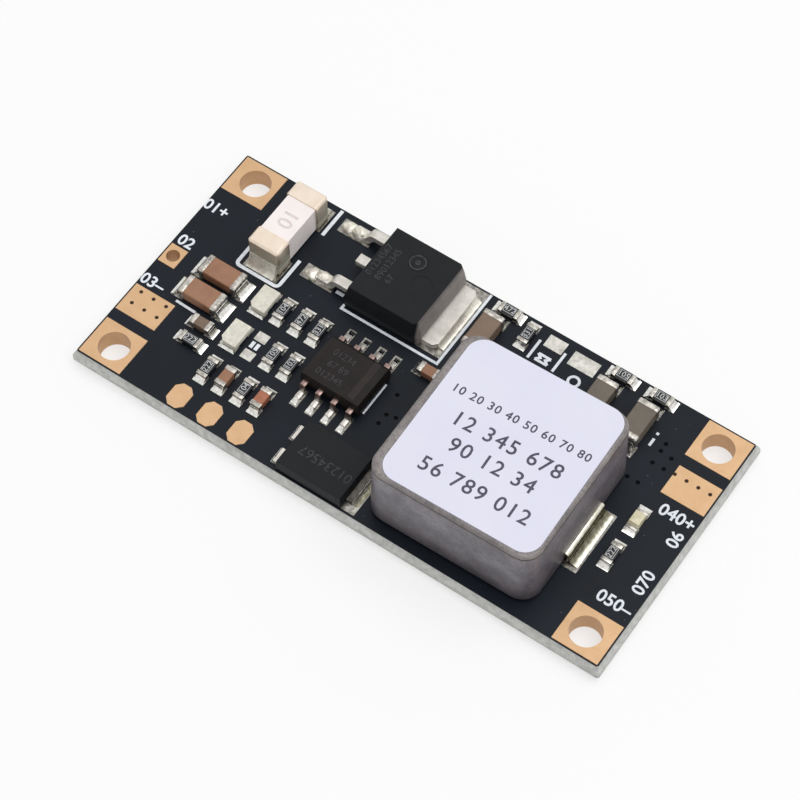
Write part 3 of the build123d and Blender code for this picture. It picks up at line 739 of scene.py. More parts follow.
# The fuse's caps: a warm, creamy plate over brass, painted darker in bands towards the board: a painted
# reflection of the dark board, with a paler painted highlight line across it
FUSE_CAP = BandedFinish(
    "warm_tin_cap_painted_reflection", "tin", "#ffffff", "#f4f0ec", 0.34,
    metallic=0.7, patch=1.6, grain=0.3, relief=0.002,
    stops=(
        (1.63, "#a19b89"), (2.25, "#cfc8b4"), (2.45, "#9c9682"),
        (3.4, "#c1b8a4"), (3.9, "#d8cbb8"), (4.15, "#eadccc"),
    ),
)
# Ink on the fuse's tube, nearly the colour of the ceramic below
FUSE_INK = Finish(
    "fired_ceramic_ink", "ceramic_white", "#e0d4d3", "#e8dddb", 0.6,
    specular=0.3, patch=0.5, grain=0.05, relief=0.001,
)
# Fired alumina: chalky white and slightly pink
ALUMINA = Finish(
    "fired_alumina", "ceramic_white", "#fbf2f0", "#fff7f5", 0.5,
    specular=0.4, patch=1.5, grain=0.05, relief=0.002,
)
# Fired dielectric ceramic of the input capacitors: smooth milk-chocolate brown
BROWN_CERAMIC = Finish(
    "fired_brown_dielectric", "ceramic_brown", "#966c53", "#a0765b", 0.42,
    specular=0.4, patch=1.0, grain=0.05, relief=0.0015,
)
# The same ceramic in a redder firing, on the small capacitor by the test pads
RED_CERAMIC = replace(
    BROWN_CERAMIC, name="fired_red_dielectric", colour="#a5664c", second="#b07055", patch=0.6
)
# The same ceramic fired longer, on the small input capacitor: a grey tan
TAN_CERAMIC = replace(
    BROWN_CERAMIC, name="fired_tan_dielectric", colour="#725f50", second="#7a6657", roughness=0.4
)
# Fired dielectric of the capacitor beside the power switch: a warm grey tan
WARM_CERAMIC = replace(
    TAN_CERAMIC, name="fired_warm_dielectric", slot="ceramic_grey", colour="#7a6656", second="#826e5d"
)
# Fired dielectric of the output capacitors: a cool grey brown
GREY_CERAMIC = replace(
    WARM_CERAMIC, name="fired_grey_dielectric", colour="#696055", second="#71685c", patch=1.2
)
# Printed and fired overglaze of a resistor: glossy black
RESISTOR_GLAZE = Finish(
    "fired_black_overglaze", "resistor_coat", "#16171a", "#1c1d20", 0.3,
    specular=0.35, patch=0.4, grain=0.05, relief=0.002,
)
# Ink on the resistors, and in the same pale colour a fine frame at the glaze's edge, which is a painted
# highlight of that edge
PALE_INK_AND_HIGHLIGHT = Finish(
    "white_marking_ink_and_painted_highlight", "resistor_coat", "#d9dadb", "#c4c5c6", 0.6,
    specular=0.3, patch=0.1, grain=0.04, relief=0.002,
)
# Transfer-moulded epoxy: matt charcoal with a fine even tooth, drawn coarser than the mould's own
MOULDED_EPOXY = Finish(
    "transfer_moulded_epoxy", "mould_compound", "#16181a", "#191b1e", 0.55,
    specular=0.18, patch=1.5, grain=0.06, relief=0.006,
)
# The power switch's epoxy: its slope over the tab is painted paler, a painted reflection of light bounced
# off the bright tab
SWITCH_EPOXY = BandedFinish(
    "moulded_epoxy_painted_bounce_light", "mould_compound", "#ffffff", "#e2e2e4", 0.5,
    specular=0.18, patch=1.5, grain=0.06, relief=0.006,
    stops=((-2.3, "#17191c"), (-2.15, "#928b88")), axis="X",
)
# The stripe by the controller's first pins: epoxy polished by the mould's insert
INDEX_STRIPE = Finish(
    "polished_epoxy_stripe", "mould_compound", "#2b2523", "#312a28", 0.5,
    specular=0.2, patch=0.6, grain=0.08, relief=0.002,
)
# The controller's epoxy, a little browner
BROWN_EPOXY = Finish(
    "transfer_moulded_brown_epoxy", "mould_compound", "#1a1615", "#1f1a18", 0.55,
    specular=0.2, patch=0.8, grain=0.06, relief=0.006,
)
# Laser-burnt marks in moulded epoxy: a shade paler than the body
LASER_MARK = Finish(
    "laser_burnt_epoxy", "mould_compound", "#4b4c50", "#333437", 0.8,
    specular=0.2, patch=0.15, grain=0.05, relief=0.004,
)
# Iron powder, pressed and resin coated: violet grey, painted darker down its sides towards the board
# (painted shade) and paler at its top (painted light), with a visible grain that is drawn about twice as
# coarse as the real powder's, which would be too fine to show
IRON_POWDER = SpeckledFinish(
    "iron_powder_painted_light_and_shade", "iron_powder", "#ffffff", "#cfcdd0", 0.42,
    specular=0.45, metallic=0.15, patch=1.6, grain=0.16, relief=0.01,
    stops=(
        (1.85, "#524d52"), (3.2, "#6d686e"), (5.6, "#7f7b83"),
        (7.05, "#837e84"), (7.2, "#8b8582"), (7.51, "#938d8b"),
    ),
)
# The shallow parting line under the core's top edge, coloured darker than the core
PARTING_LINE = Finish(
    "dark_parting_line", "iron_powder", "#38342f", "#55504a", 0.7,
    specular=0.2, patch=0.6, grain=0.1, relief=0.004,
)
# Coated label film: cool white with a soft sheen
LABEL_FILM = Finish(
    "coated_label_film", "label_film", "#e3e3f4", "#e7e7f6", 0.5,
    specular=0.35, patch=6.0, grain=0.2, relief=0.001,
)
# Thermal transfer ink on the label: violet grey, with thin spots
LABEL_INK = Finish(
    "thermal_transfer_ink", "label_film", "#4b4757", "#5d596b", 0.6,
    specular=0.3, patch=0.3, grain=0.08, relief=0.001,
)
# Screen-printed epoxy legend: bluish white, thin at its edges
LEGEND_INK = Finish(
    "screened_epoxy_legend", "solder_mask", "#f4f8fd", "#e4eaf2", 0.6,
    specular=0.3, patch=0.3, grain=0.07, relief=0.004,
)
# Moulded white chips: matt, slightly warm
WHITE_MOULDING = Finish(
    "moulded_white_ceramic", "ceramic_white", "#ebe8da", "#d8d5c7", 0.6,
    specular=0.35, patch=0.3, grain=0.08, relief=0.008,
)
# Clear resin over a pale phosphor: a cream lens with a wet gloss
LENS_RESIN = Finish(
    "cast_phosphor_resin", "lens_resin", "#d8cfa9", "#e6dfc0", 0.2,
    specular=0.5, coat=0.5, patch=0.35, grain=0.1, relief=0.003,
)
# Tinned copper leads of the controller: bright feet, copper showing on the shoulders
COPPER_LEAD = BandedFinish(
    "tin_dipped_copper_lead", "tin", "#ffffff", "#d2cfcb", 0.3,
    metallic=0.9, patch=0.2, grain=0.12, relief=0.006, stops=((1.95, "#d6d2cc"), (2.25, "#a38b85")),
)
# Matt tinned power leads and tabs
POWER_TIN = Finish(
    "matt_tin_over_copper", "tin", "#dad6cf", "#c4c0b8", 0.4,
    metallic=0.6, patch=0.7, grain=0.09, relief=0.006,
)
# The inductor's straps: bright dipped tin, painted olive-dark below 2.5 mm as a painted reflection of the
# dark board in their upright faces
BRIGHT_TIN = BandedFinish(
    "bright_tin_painted_reflection", "tin", "#ffffff", "#dcd8ca", 0.22,
    metallic=1.0, patch=0.5, grain=0.3, relief=0.014, roughness_spread=0.08,
    stops=((1.63, "#65624f"), (2.3, "#8b8876"), (2.5, "#dddbcf"), (2.68, "#e8e5da")),
)
# Solder at the inductor's straps: bright at its foot, painted olive where it climbs the strap as a
# painted reflection of the dark board
STRAP_SOLDER = BandedFinish(
    "solder_painted_reflection", "solder", "#ffffff", "#bab8ae", 0.28,
    metallic=1.0, patch=0.35, grain=0.25, relief=0.02, roughness_spread=0.1,
    stops=(
        (1.0, "#eceae2"), (1.35, "#dcdacf"), (1.6, "#8c897a"), (2.1, "#67644f"),
        (15.5, "#67644f"), (15.95, "#8c897a"), (16.12, "#dcdacf"), (16.4, "#eceae2"),
    ),
    axis="X",
)
# The rectifier's wide lead: tin painted dark grey, a painted shade from the tall inductor beside it
SHADE_DARKENED_TIN = Finish(
    "tin_painted_shade", "tin", "#6f6b66", "#4d4a47", 0.45,
    metallic=0.7, patch=0.5, grain=0.2, relief=0.006,
)
# Hand-worked solder on the power switch: grey, grainy and uneven
DULL_SOLDER = Finish(
    "hand_worked_solder", "solder", "#f2eee2", "#d6d2c5", 0.42,
    metallic=0.6, patch=0.3, grain=0.22, relief=0.015, roughness_spread=0.12,
)
# Dark brown discs sunk in the small bores of the strap pads: painted shade of the bores' insides
SHADED_BORE = Finish(
    "painted_shade_in_bore", "solder_mask", "#2e1f12", "#3a2818", 0.5,
    specular=0.2, patch=0.2, grain=0.08, relief=0.002,
)
# Lands under the joints, wetted by reflowed solder
REFLOWED_LAND = Finish(
    "solder_wetted_land", "tin", "#aeaba4", "#6d6a65", 0.3,
    metallic=1.0, patch=0.3, grain=0.3, relief=0.006, roughness_spread=0.12,
)
# Mask sunk into plugged vias: darker and duller than the face round it
PLUGGED_VIA = Finish(
    "plugged_via_mask", "solder_mask", "#030405", "#050608", 0.6,
    specular=0.05, patch=0.2, grain=0.05, relief=0.002,
)


# Print


@dataclass
class Stroke:
    """One printed line of even width, by the points of its middle line in millimetres."""

    points: tuple[tuple[float, float], ...]
    width: float = 0.25
    corner: float = 0.0
    corner_steps: int = 4

    def build(self, name: str, height: float, thickness: float) -> Piece:
        """Draws the line as a thin raised strip.

        Args:
            name: The strip's name.
            height: The height of its underside.
            thickness: How far it stands up.

        Returns:
            The strip.
        """
        strip = add_shape(name, bpy.ops.mesh.primitive_plane_add, size=MM)
        first = Vector((*self.points[0], height)) * MM
        with edit_mode(strip, Element.VERT):
            take_all()
            bpy.ops.mesh.merge(type="CENTER")
            bpy.ops.transform.translate(value=first)
            for start, end in zip(self.points, self.points[1:]):
                step = Vector((end[0] - start[0], end[1] - start[1], 0)) * MM
                bpy.ops.mesh.extrude_vertices_move(TRANSFORM_OT_translate={"value": step})
            if self.corner:
                take_all()
                bpy.ops.mesh.bevel(offset=self.corner * MM, segments=self.corner_steps, affect="VERTICES")
            take_all()
            bpy.ops.mesh.extrude_edges_move(TRANSFORM_OT_translate={"value": UP * thickness * MM})
            face_outwards()
        refine(strip, "SOLIDIFY", thickness=self.width * MM, offset=0, use_even_offset=True)
        with edit_mode(strip):
            face_outwards()
        return strip


def add_ring(name: str, centre: Vector, radius: float, width: float, thickness: float) -> Piece:
    """Adds a thin flat ring.

    Args:
        name: The ring's name.
        centre: Its centre, at the height of its underside, in millimetres.
        radius: The radius of its middle line.
        width: How wide the band is.
        thickness: How far it stands up.

    Returns:
        The ring.
    """
    add = bpy.ops.mesh.primitive_circle_add
    ring = settle(add_shape(name, add, vertices=RING_SIDES, radius=radius * MM, location=centre * MM))
    with edit_mode(ring, Element.EDGE):
        take_all()
        bpy.ops.mesh.extrude_edges_move(TRANSFORM_OT_translate={"value": UP * thickness * MM})
        face_outwards()
    return refine(ring, "SOLIDIFY", thickness=width * MM, offset=0, use_even_offset=True)


@dataclass(frozen=True)
class Number:
    """A plain number in print: its digits, with their height, growth and thickness in millimetres.

    The spread is the share of the usual step from digit to digit.
    """

    digits: str
    height: float
    bold: float = 0.0
    thickness: float = 0.006
    spread: float = 1.0
    size_per_height: float = 1.4
    curve_steps: int = 3

    def build(self, place: Matrix) -> Piece:
        """Builds the number as a thin mesh.

        Args:
            place: Where its centre goes and how it is turned, with its underside at zero height.

        Returns:
            The number, with its place in its mesh.
        """
        text = add_shape("digits", bpy.ops.object.text_add)
        text.data.body = self.digits
        text.data.align_x = "CENTER"
        text.data.align_y = "CENTER"
        text.data.size = self.height * MM * self.size_per_height
        text.data.offset = self.bold * MM
        text.data.space_character = self.spread
        text.data.resolution_u = self.curve_steps
        text.data.extrude = self.thickness * MM / 2
        bpy.ops.object.convert(target="MESH")
        number = bpy.context.active_object
        number.name = f"number_{self.digits}"
        number.data.transform(place @ move_mm(0, 0, self.thickness / 2))
        return number


@dataclass(frozen=True)
class PrintLine:
    """A line of plain digits: their height, the line's centre in millimetres and its turn in degrees.

    The centre counts from the node's own centre where a node is named, and else from the board's.
    """

    digits: str
    height: float
    x: float
    y: float
    turn: float = 0.0
    node: str = ""


@dataclass
class Legend:
    """White print on the mask: outlines of parts, and plain numbers and signs at the terminals."""

    thickness: float = 0.012
    heavy: float = 0.27
    medium: float = 0.2
    fine: float = 0.14
    bold: float = 0.025
    ring_centre: tuple[float, float] = (8.35, 7.2)
    ring_radius: float = 0.4
    bow_centre: tuple[float, float] = (5.64, 7.52)
    bow_reach: float = 0.5
    bow_notch: float = 0.2
    bow_rise: float = 0.27
    overlap_step: float = 0.002
    numbers: tuple[PrintLine, ...] = (
        PrintLine("01+", 0.9, -20.3, 4.95),
        PrintLine("02", 0.9, -20.35, 1.45),
        PrintLine("03\u2013", 0.9, -20.25, -2.6),
        PrintLine("040+", 0.92, 19.7, 2.2),
        PrintLine("050\u2013", 0.92, 19.65, -5.5),
        PrintLine("06", 0.9, 20.5, 0.72, 90.0),
        PrintLine("070", 0.9, 20.48, -3.15, 90.0),
    )

    def outlines(self) -> list[Stroke]:
        """Outlines round the fuse, the power switch and the controller, and single lines.

        Returns:
            The lines.
        """
        return [
            Stroke(((-16.4, 3.7), (-16.4, 2.0), (-12.82, 2.0), (-12.82, 4.7)), self.heavy, corner=0.3),
            Stroke(((-12.78, 7.35), (-12.78, 9.85)), self.heavy),
            Stroke(((-18.0, -2.85), (-16.3, -2.9)), self.medium),
            Stroke(((-8.15, 3.5), (-8.15, 3.12), (-0.15, 3.12), (-0.15, 9.9)), self.medium),
            Stroke(((-9.25, 4.05), (-8.6, 4.05)), self.heavy),
            Stroke(((-2.05, -3.0), (-2.05, -0.2)), self.fine),
            Stroke(((4.67, 7.05), (4.67, 8.75)), self.medium),
            Stroke(((6.69, 7.05), (6.69, 8.8)), self.medium),
            Stroke(((15.26, 5.85), (15.26, 6.5)), self.medium),
            Stroke(((15.26, 6.85), (15.26, 7.05)), self.medium),
            Stroke(((-11.5, -3.05), (-11.5, -2.5)), self.heavy),
            Stroke(((-11.1, -3.05), (-11.1, -2.5)), self.heavy),
        ]

    def bow_tie(self) -> list[Stroke]:
        """The bow tie between the bare lands: two bars, and two arrow heads that point inwards.

        Returns:
            The lines.
        """
        x, y = self.bow_centre
        long, notch, high = self.bow_reach, self.bow_notch, self.bow_rise
        return [
            Stroke(((x - long, y + high), (x + long, y + high)), self.medium),
            Stroke(((x - long, y - high), (x + long, y - high)), self.medium),
            Stroke(((x - long, y + high), (x - notch, y), (x - long, y - high)), self.medium),
            Stroke(((x + long, y + high), (x + notch, y), (x + long, y - high)), self.medium),
        ]

    def build(self) -> list[Piece]:
        """Builds the print as one piece on the mask's face.

        Returns:
            The print, alone in a list.
        """
        height = top_of("solder_mask_top").z
        made = [stroke.build("stroke", height, self.thickness) for stroke in self.outlines()]
        for number, stroke in enumerate(self.bow_tie()):
            made.append(stroke.build("stroke", height, self.thickness + number * self.overlap_step))
        ring_centre = Vector((*self.ring_centre, height))
        made.append(add_ring("ring", ring_centre, self.ring_radius, self.medium, self.thickness))
        for line in self.numbers:
            number = Number(line.digits, line.height, self.bold, self.thickness)
            made.append(number.build(move_mm(line.x, line.y, height) @ turn_about_z(line.turn)))
        return [LEGEND_INK.dress(smooth(join("printed_legend", made)))]


# Sub-assemblies


def round_nodes(finish: Finish, radius: float, *nodes: str) -> list[Piece]:
    """Replaces CAD nodes by copies whose edges are rounded as the real pieces' are.

    Args:
        finish: The copies' finish.
        radius: The rounding in millimetres.
        *nodes: The nodes' names.

    Returns:
        The copies.
    """
    made = []
    for node in nodes:
        piece = finish.dress(round_edges(cad_copy(node, f"{node}_rounded"), radius))
        made.append(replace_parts(piece, node))
    return made


@dataclass(frozen=True)
class ViaGrid:
    """Rows of vias in a strap pad, with their middle's place from the pad's centre in millimetres."""

    node: str
    x: float
    y: float
    pitch: float
    columns: int
    rows: int

    def places(self) -> list[tuple[float, float]]:
        """Places of the vias on the board.

        Returns:
            The place of each via in millimetres.
        """
        centre, _ = place_of(self.node)
        spots = []
        for column in range(self.columns):
            for row in range(self.rows):
                x = centre.x + self.x + (column - (self.columns - 1) / 2) * self.pitch
                y = centre.y + self.y + (row - (self.rows - 1) / 2) * self.pitch
                spots.append((x, y))
        return spots


@dataclass
class Board:
    """The bare board: laminate, masks, bare pads, the tented vias with their plugs, and discs of painted
    shade in the strap pads' bores.
    """

    via_radius: float = 0.16
    via_height: float = 0.008
    via_sides: int = 20
    rim_share: float = 0.8
    vias: tuple[tuple[float, float], ...] = (
        (16.14, 6.6), (16.14, 5.95), (16.14, 4.87), (17.03, 5.84), (17.03, 4.87), (16.14, 3.02),
        (15.31, 3.02), (-0.76, -3.0), (-0.7, -2.15), (-0.03, -2.0), (-0.97, -0.45), (1.1, -4.2),
    )
    bore_radius: float = 0.16
    bores: tuple[ViaGrid, ...] = (
        ViaGrid("strap_pad_input", 0.1, 0.28, 1.08, 3, 2),
        ViaGrid("strap_pad_output", -0.2, 0.45, 0.92, 4, 1),
    )
    terminals: tuple[str, ...] = (
        "terminal_input_plus", "terminal_input_minus", "terminal_output_plus", "terminal_output_minus",
        "terminal_enable", "strap_pad_input", "strap_pad_output", "test_pads",
    )

    def discs(self, name: str, radius: float, spots: list[Vector]) -> Piece:
        """Builds small flat domes.

        Args:
            name: The piece's name.
            radius: The radius of each dome in millimetres.
            spots: Where their middles go, in millimetres.

        Returns:
            The domes as one piece.
        """
        add, depth = bpy.ops.mesh.primitive_cylinder_add, 2 * self.via_height * MM
        disc = add_shape("disc", add, vertices=self.via_sides, radius=radius * MM, depth=depth)
        pattern = round_edges(settle(disc), self.via_height * self.rim_share)
        domes = [copy_piece(pattern, move_mm(*spot)) for spot in spots]
        drop(pattern)
        return join(name, domes)

    def build(self) -> list[Piece]:
        """Finishes the board's own pieces.

        Returns:
            The plugs of the tented vias, and the discs of painted shade in the strap pads' bores.
        """
        SOLDER_MASK.paint("solder_mask_top", "solder_mask_bottom")
        LAMINATE.paint("circuit_board")
        GOLD.paint(*self.terminals)
        REFLOWED_LAND.paint("tinned_lands")
        LEVELLED_TIN.paint("bare_lands")
        height = top_of("solder_mask_top").z
        tented = [Vector((x, y, height)) for x, y in self.vias]
        plugs = PLUGGED_VIA.dress(self.discs("plugged_vias", self.via_radius, tented))
        # Dark discs in the strap pads' bores: painted shade of the bores' insides.
        spots = []
        for grid in self.bores:
            sunk = top_of(grid.node).z - self.via_height * 2
            spots += [Vector((x, y, sunk)) for x, y in grid.places()]
        return [plugs, SHADED_BORE.dress(self.discs("strap_pad_bore_shade", self.bore_radius, spots))]


@dataclass
class Resistors:
    """Chip resistors: glazed top with a fine pale frame, a painted highlight of the glaze's edge, and a
    plain number, between plated caps.
    """

    count: int = 13
    glaze_length: float = 0.98
    glaze_width: float = 0.72
    glaze_height: float = 0.02
    highlight_inset: float = 0.06
    highlight_width: float = 0.035
    digit_height: float = 0.42
    ink_height: float = 0.004
    glaze_rounding: float = 0.016
    glaze_steps: int = 3
    body_rounding: float = 0.02
    cap_rounding: float = 0.03
    numbers: tuple[str, ...] = ("103", "222", "104", "472", "331", "105")

    def place(self, number: int) -> Matrix:
        """Where a resistor's top face is, and how it is turned.

        Args:
            number: The resistor's number.

        Returns:
            The matrix that takes a pad there from the origin.
        """
        node = f"resistor_{number}"
        _, size = place_of(node)
        along = Along.LENGTH if size.x > size.y else Along.WIDTH
        return move_mm(*top_of(node)) @ turn_about_z(along.value)

    def glaze(self) -> Piece:
        """One glaze pad about its own origin.

        Returns:
            The pad, as a pattern for copies.
        """
        size = Vector((self.glaze_length, self.glaze_width, self.glaze_height))
        pad = add_box("glaze", size, Vector((0, 0, self.glaze_height / 2)))
        return round_edges(pad, self.glaze_rounding, self.glaze_steps)

    def painted_highlight_frame(self) -> Piece:
        """The thin pale rectangle on one glaze pad: a painted highlight of the glaze's edge.

        Returns:
            The rectangle, as a pattern for copies.
        """
        length = self.glaze_length - 2 * self.highlight_inset
        width = self.glaze_width - 2 * self.highlight_inset
        height = UP * self.glaze_height * MM
        rim = add_shape("frame", bpy.ops.mesh.primitive_plane_add, size=MM, location=height)
        rim.scale = Vector((length, width, 1))
        settle(rim)
        with edit_mode(rim):
            take_all()
            bpy.ops.mesh.inset(thickness=self.highlight_width * MM)
            bpy.ops.mesh.delete(type="FACE")
            take_all()
            bpy.ops.mesh.extrude_region_move(TRANSFORM_OT_translate={"value": UP * self.ink_height * MM})
            face_outwards()
        return rim

    def build(self) -> list[Piece]:
        """Builds the glaze, the frames of painted highlight and the numbers of all the resistors.

        Returns:
            The resistors' pieces.
        """
        glaze, rim = self.glaze(), self.painted_highlight_frame()
        pads, marks = [], []
        for number in range(1, self.count + 1):
            place = self.place(number)
            pads.append(copy_piece(glaze, place))
            # The pale frame is a painted highlight of the glaze's edge.
            marks.append(copy_piece(rim, place))
            digits = self.numbers[number % len(self.numbers)]
            printed = Number(digits, self.digit_height, thickness=self.ink_height)
            marks.append(printed.build(place @ move_mm(0, 0, self.glaze_height)))
        drop(glaze)
        drop(rim)
        pieces = [RESISTOR_GLAZE.dress(join("resistor_glaze", pads))]
        pieces.append(PALE_INK_AND_HIGHLIGHT.dress(join("resistor_marks_and_highlights", marks)))
        bodies = [f"resistor_{number}" for number in range(1, self.count + 1)]
        pieces += round_nodes(RESISTOR_GLAZE, self.body_rounding, *bodies)
        return pieces + round_nodes(END_CAP, self.cap_rounding, "resistor_caps")


@dataclass
class Capacitors:
    """Ceramic capacitors: brown, red, tan or grey bodies between plated caps."""

    brown: tuple[int, ...] = (1, 2, 4, 6)
    red: tuple[int, ...] = (5,)
    tan: tuple[int, ...] = (3,)
    warm: tuple[int, ...] = (7,)
    grey: tuple[int, ...] = (8, 9)
    body_rounding: float = 0.02
    cap_rounding: float = 0.035

    def build(self) -> list[Piece]:
        """Rounds and dresses the capacitors.

        Returns:
            The capacitors' pieces.
        """
        pieces = []
        for finish, numbers in (
            (BROWN_CERAMIC, self.brown),
            (RED_CERAMIC, self.red),
            (TAN_CERAMIC, self.tan),
            (WARM_CERAMIC, self.warm),
            (GREY_CERAMIC, self.grey),
        ):
            bodies = [f"capacitor_{number}" for number in numbers]
            pieces += round_nodes(finish, self.body_rounding, *bodies)
        return pieces + round_nodes(END_CAP, self.cap_rounding, "capacitor_caps")


@dataclass
class Fuse:
    """The fuse: ceramic tube with a faint plain number, between two creamy caps."""

    cap_rounding: float = 0.07
    tube_rounding: float = 0.05
    mark: Number = Number("10", 1.15, 0.02, 0.004)
    mark_y: float = 5.75
    mark_turn: float = -90.0

    def build(self) -> list[Piece]:
        """Rounds and dresses the fuse.

        Returns:
            The fuse's pieces.
        """
        # The caps' darker bands are a painted reflection of the dark board.
        pieces = round_nodes(FUSE_CAP, self.cap_rounding, "fuse_cap_front", "fuse_cap_back")
        top = top_of("fuse_tube")
        place = move_mm(top.x, self.mark_y, top.z) @ turn_about_z(self.mark_turn)
        pieces.append(FUSE_INK.dress(self.mark.build(place)))
        return pieces + round_nodes(ALUMINA, self.tube_rounding, "fuse_tube")


@dataclass
class Inductor:
    """The power inductor: pressed core, folded straps and a label with rows of plain numbers."""

    core_rounding: float = 0.09
    strap_rounding: float = 0.05
    line_height: float = 7.18
    line_width: float = 0.13
    line_depth: float = 0.02
    label_shrink: tuple[float, float] = (0.982, 0.992)
    label_shift: float = 0.12
    turn: float = 2.4
    spread: float = 1.16
    bold: float = 0.014
    rows: tuple[PrintLine, ...] = (
        PrintLine("10 20 30 40 50 60 70 80", 0.64, 8.94, -0.55),
        PrintLine("12 345 678", 1.12, 9.12, -2.5),
        PrintLine("90 12 34", 1.12, 9.14, -4.35),
        PrintLine("56 789 012", 1.12, 9.22, -6.5),
    )

    def core(self) -> Piece:
        """The core with its shallow parting line pressed in below the top edge.

        Returns:
            The core.
        """
        core = cad_copy("inductor_core", "inductor_core_rounded")
        low = (self.line_height - self.line_width / 2) * MM
        high = (self.line_height + self.line_width / 2) * MM
        for height in (low, high):
            with edit_mode(core):
                take_all()
                bpy.ops.mesh.bisect(plane_co=UP * height, plane_no=UP)
        round_edges(core, self.core_rounding)
        # The powder's finish paints shade low on the core's sides and light on its top.
        core.data.materials.append(IRON_POWDER.material())
        core.data.materials.append(PARTING_LINE.material())
        with edit_mode(core) as mesh:
            core.active_material_index = 1
            pick(core, mesh.faces, lambda face: low < face.calc_center_median().z < high)
            bpy.ops.object.material_slot_assign()
            bpy.ops.transform.shrink_fatten(value=-self.line_depth * MM)
        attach(core, BODY)
        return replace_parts(core, "inductor_core")

    def label(self) -> Piece:
        """The label, trimmed so that a rim of the core shows round it.

        Returns:
            The label.
        """
        label = cad_copy("inductor_label", "inductor_label_trimmed")
        centre, _ = place_of("inductor_label")
        there = move_mm(centre.x + self.label_shift, centre.y, centre.z)
        back = move_mm(-centre.x, -centre.y, -centre.z)
        label.data.transform(there @ stretch(*self.label_shrink, 1.0) @ back)
        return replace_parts(LABEL_FILM.dress(smooth(label)), "inductor_label")

    def print_rows(self) -> Piece:
        """The label's print: four rows of plain numbers.

        Returns:
            The print.
        """
        height = top_of("inductor_label").z
        turn = turn_about_z(self.turn)
        lines = []
        for row in self.rows:
            number = Number(row.digits, row.height, self.bold, spread=self.spread)
            lines.append(number.build(move_mm(row.x, row.y, height) @ turn))
        return LABEL_INK.dress(join("label_print", lines))

    def build(self) -> list[Piece]:
        """Rounds and dresses the inductor and prints its label.

        Returns:
            The inductor's pieces.
        """
        straps = ("inductor_strap_output", "inductor_strap_input")
        # The straps' olive lower faces are a painted reflection of the dark board.
        pieces = round_nodes(BRIGHT_TIN, self.strap_rounding, *straps)
        return pieces + [self.core(), self.label(), self.print_rows()]


@dataclass
class Packages:
    """The power switch, the rectifier and the controller: moulded bodies on tinned leads."""

    body_rounding: float = 0.07
    lead_rounding: float = 0.04
    mark_thickness: float = 0.003
    ring_offset: float = 1.37
    ring_radius: float = 0.58
    ring_width: float = 0.13
    stripe: Vector = field(default_factory=lambda: Vector((0.5, 3.3, 0.006)))
    stripe_offset: float = 1.55
    stripe_turn: float = -1.0
    stripe_rounding: float = 0.002
    rows: tuple[PrintLine, ...] = (
        PrintLine("01234567", 0.52, -2.35, 0.1, 90.0, "mosfet_body"),
        PrintLine("89012345", 0.52, -1.6, 0.1, 90.0, "mosfet_body"),
        PrintLine("67", 0.52, -0.85, -0.9, 90.0, "mosfet_body"),
        PrintLine("01234567", 0.76, 0.3, -0.25, 178.0, "diode_body"),
        PrintLine("012345", 0.52, -0.6, -1.1, -1.0, "controller_body"),
        PrintLine("67 89", 0.52, -0.5, -0.2, -1.0, "controller_body"),
        PrintLine("01234", 0.52, -0.6, 0.75, -1.0, "controller_body"),
    )

    def marks(self) -> Piece:
        """Faint plain numbers and a ring, burnt into the three bodies.

        Returns:
            The marks as one piece.
        """
        lines = []
        for row in self.rows:
            place = move_mm(*(top_of(row.node) + Vector((row.x, row.y, 0)))) @ turn_about_z(row.turn)
            lines.append(Number(row.digits, row.height, thickness=self.mark_thickness).build(place))
        spot = top_of("mosfet_body") + Vector((0, self.ring_offset, 0))
        lines.append(add_ring("ring", spot, self.ring_radius, self.ring_width, self.mark_thickness))
        lines.append(add_ring("dot", spot, self.ring_width, self.ring_width, self.mark_thickness))
        return LASER_MARK.dress(join("laser_marks", lines))

    def index_stripe(self) -> Piece:
        """The paler stripe across the controller near its first pins.

        Returns:
            The stripe.
        """
        bar = add_box("controller_stripe", self.stripe, Vector((0, 0, 0)))
        spot = top_of("controller_body") + Vector((self.stripe_offset, 0, 0))
        bar.data.transform(move_mm(*spot) @ turn_about_z(self.stripe_turn))
        return INDEX_STRIPE.dress(round_edges(bar, self.stripe_rounding))

    def build(self) -> list[Piece]:
        """Rounds and dresses the packages.

        Returns:
            The packages' pieces.
        """
        pieces = []
        for finish, radius, *nodes in (
            # The power switch's slope over the tab is painted paler: a painted reflection of the tab.
            (SWITCH_EPOXY, self.body_rounding, "mosfet_body"),
            (MOULDED_EPOXY, self.body_rounding, "diode_body"),
            (BROWN_EPOXY, self.body_rounding, "controller_body"),
            (POWER_TIN, self.lead_rounding, "mosfet_tab", "mosfet_leads", "diode_anode_leads"),
            # The rectifier's wide lead is painted dark: a painted shade from the inductor beside it.
            (SHADE_DARKENED_TIN, self.lead_rounding, "diode_cathode_lead"),
            (COPPER_LEAD, self.lead_rounding, "controller_leads_front", "controller_leads_back"),
        ):
            pieces += round_nodes(finish, radius, *nodes)
        return pieces + [self.marks(), self.index_stripe()]


@dataclass
class SmallParts:
    """The two white chips and the indicator light."""

    rounding: float = 0.05
    cap_rounding: float = 0.02

    def build(self) -> list[Piece]:
        """Rounds and dresses the small parts.

        Returns:
            The small parts' pieces.
        """
        LEVELLED_TIN.paint("white_chip_feet")
        pieces = round_nodes(WHITE_MOULDING, self.rounding, "white_chip_1", "white_chip_2")
        pieces += round_nodes(LENS_RESIN, self.rounding, "lamp_body")
        return pieces + round_nodes(END_CAP, self.cap_rounding, "lamp_caps")


@dataclass(frozen=True)
class Flare:
    """A stretch along a fillet, from start to end, with how much wider it gets."""

    start: float
    end: float
    width: float


@dataclass(frozen=True)
class Heap:
    """A heap of solder: its place on the board and its three radii, in millimetres."""

    x: float
    y: float
    length: float
    width: float
    height: float


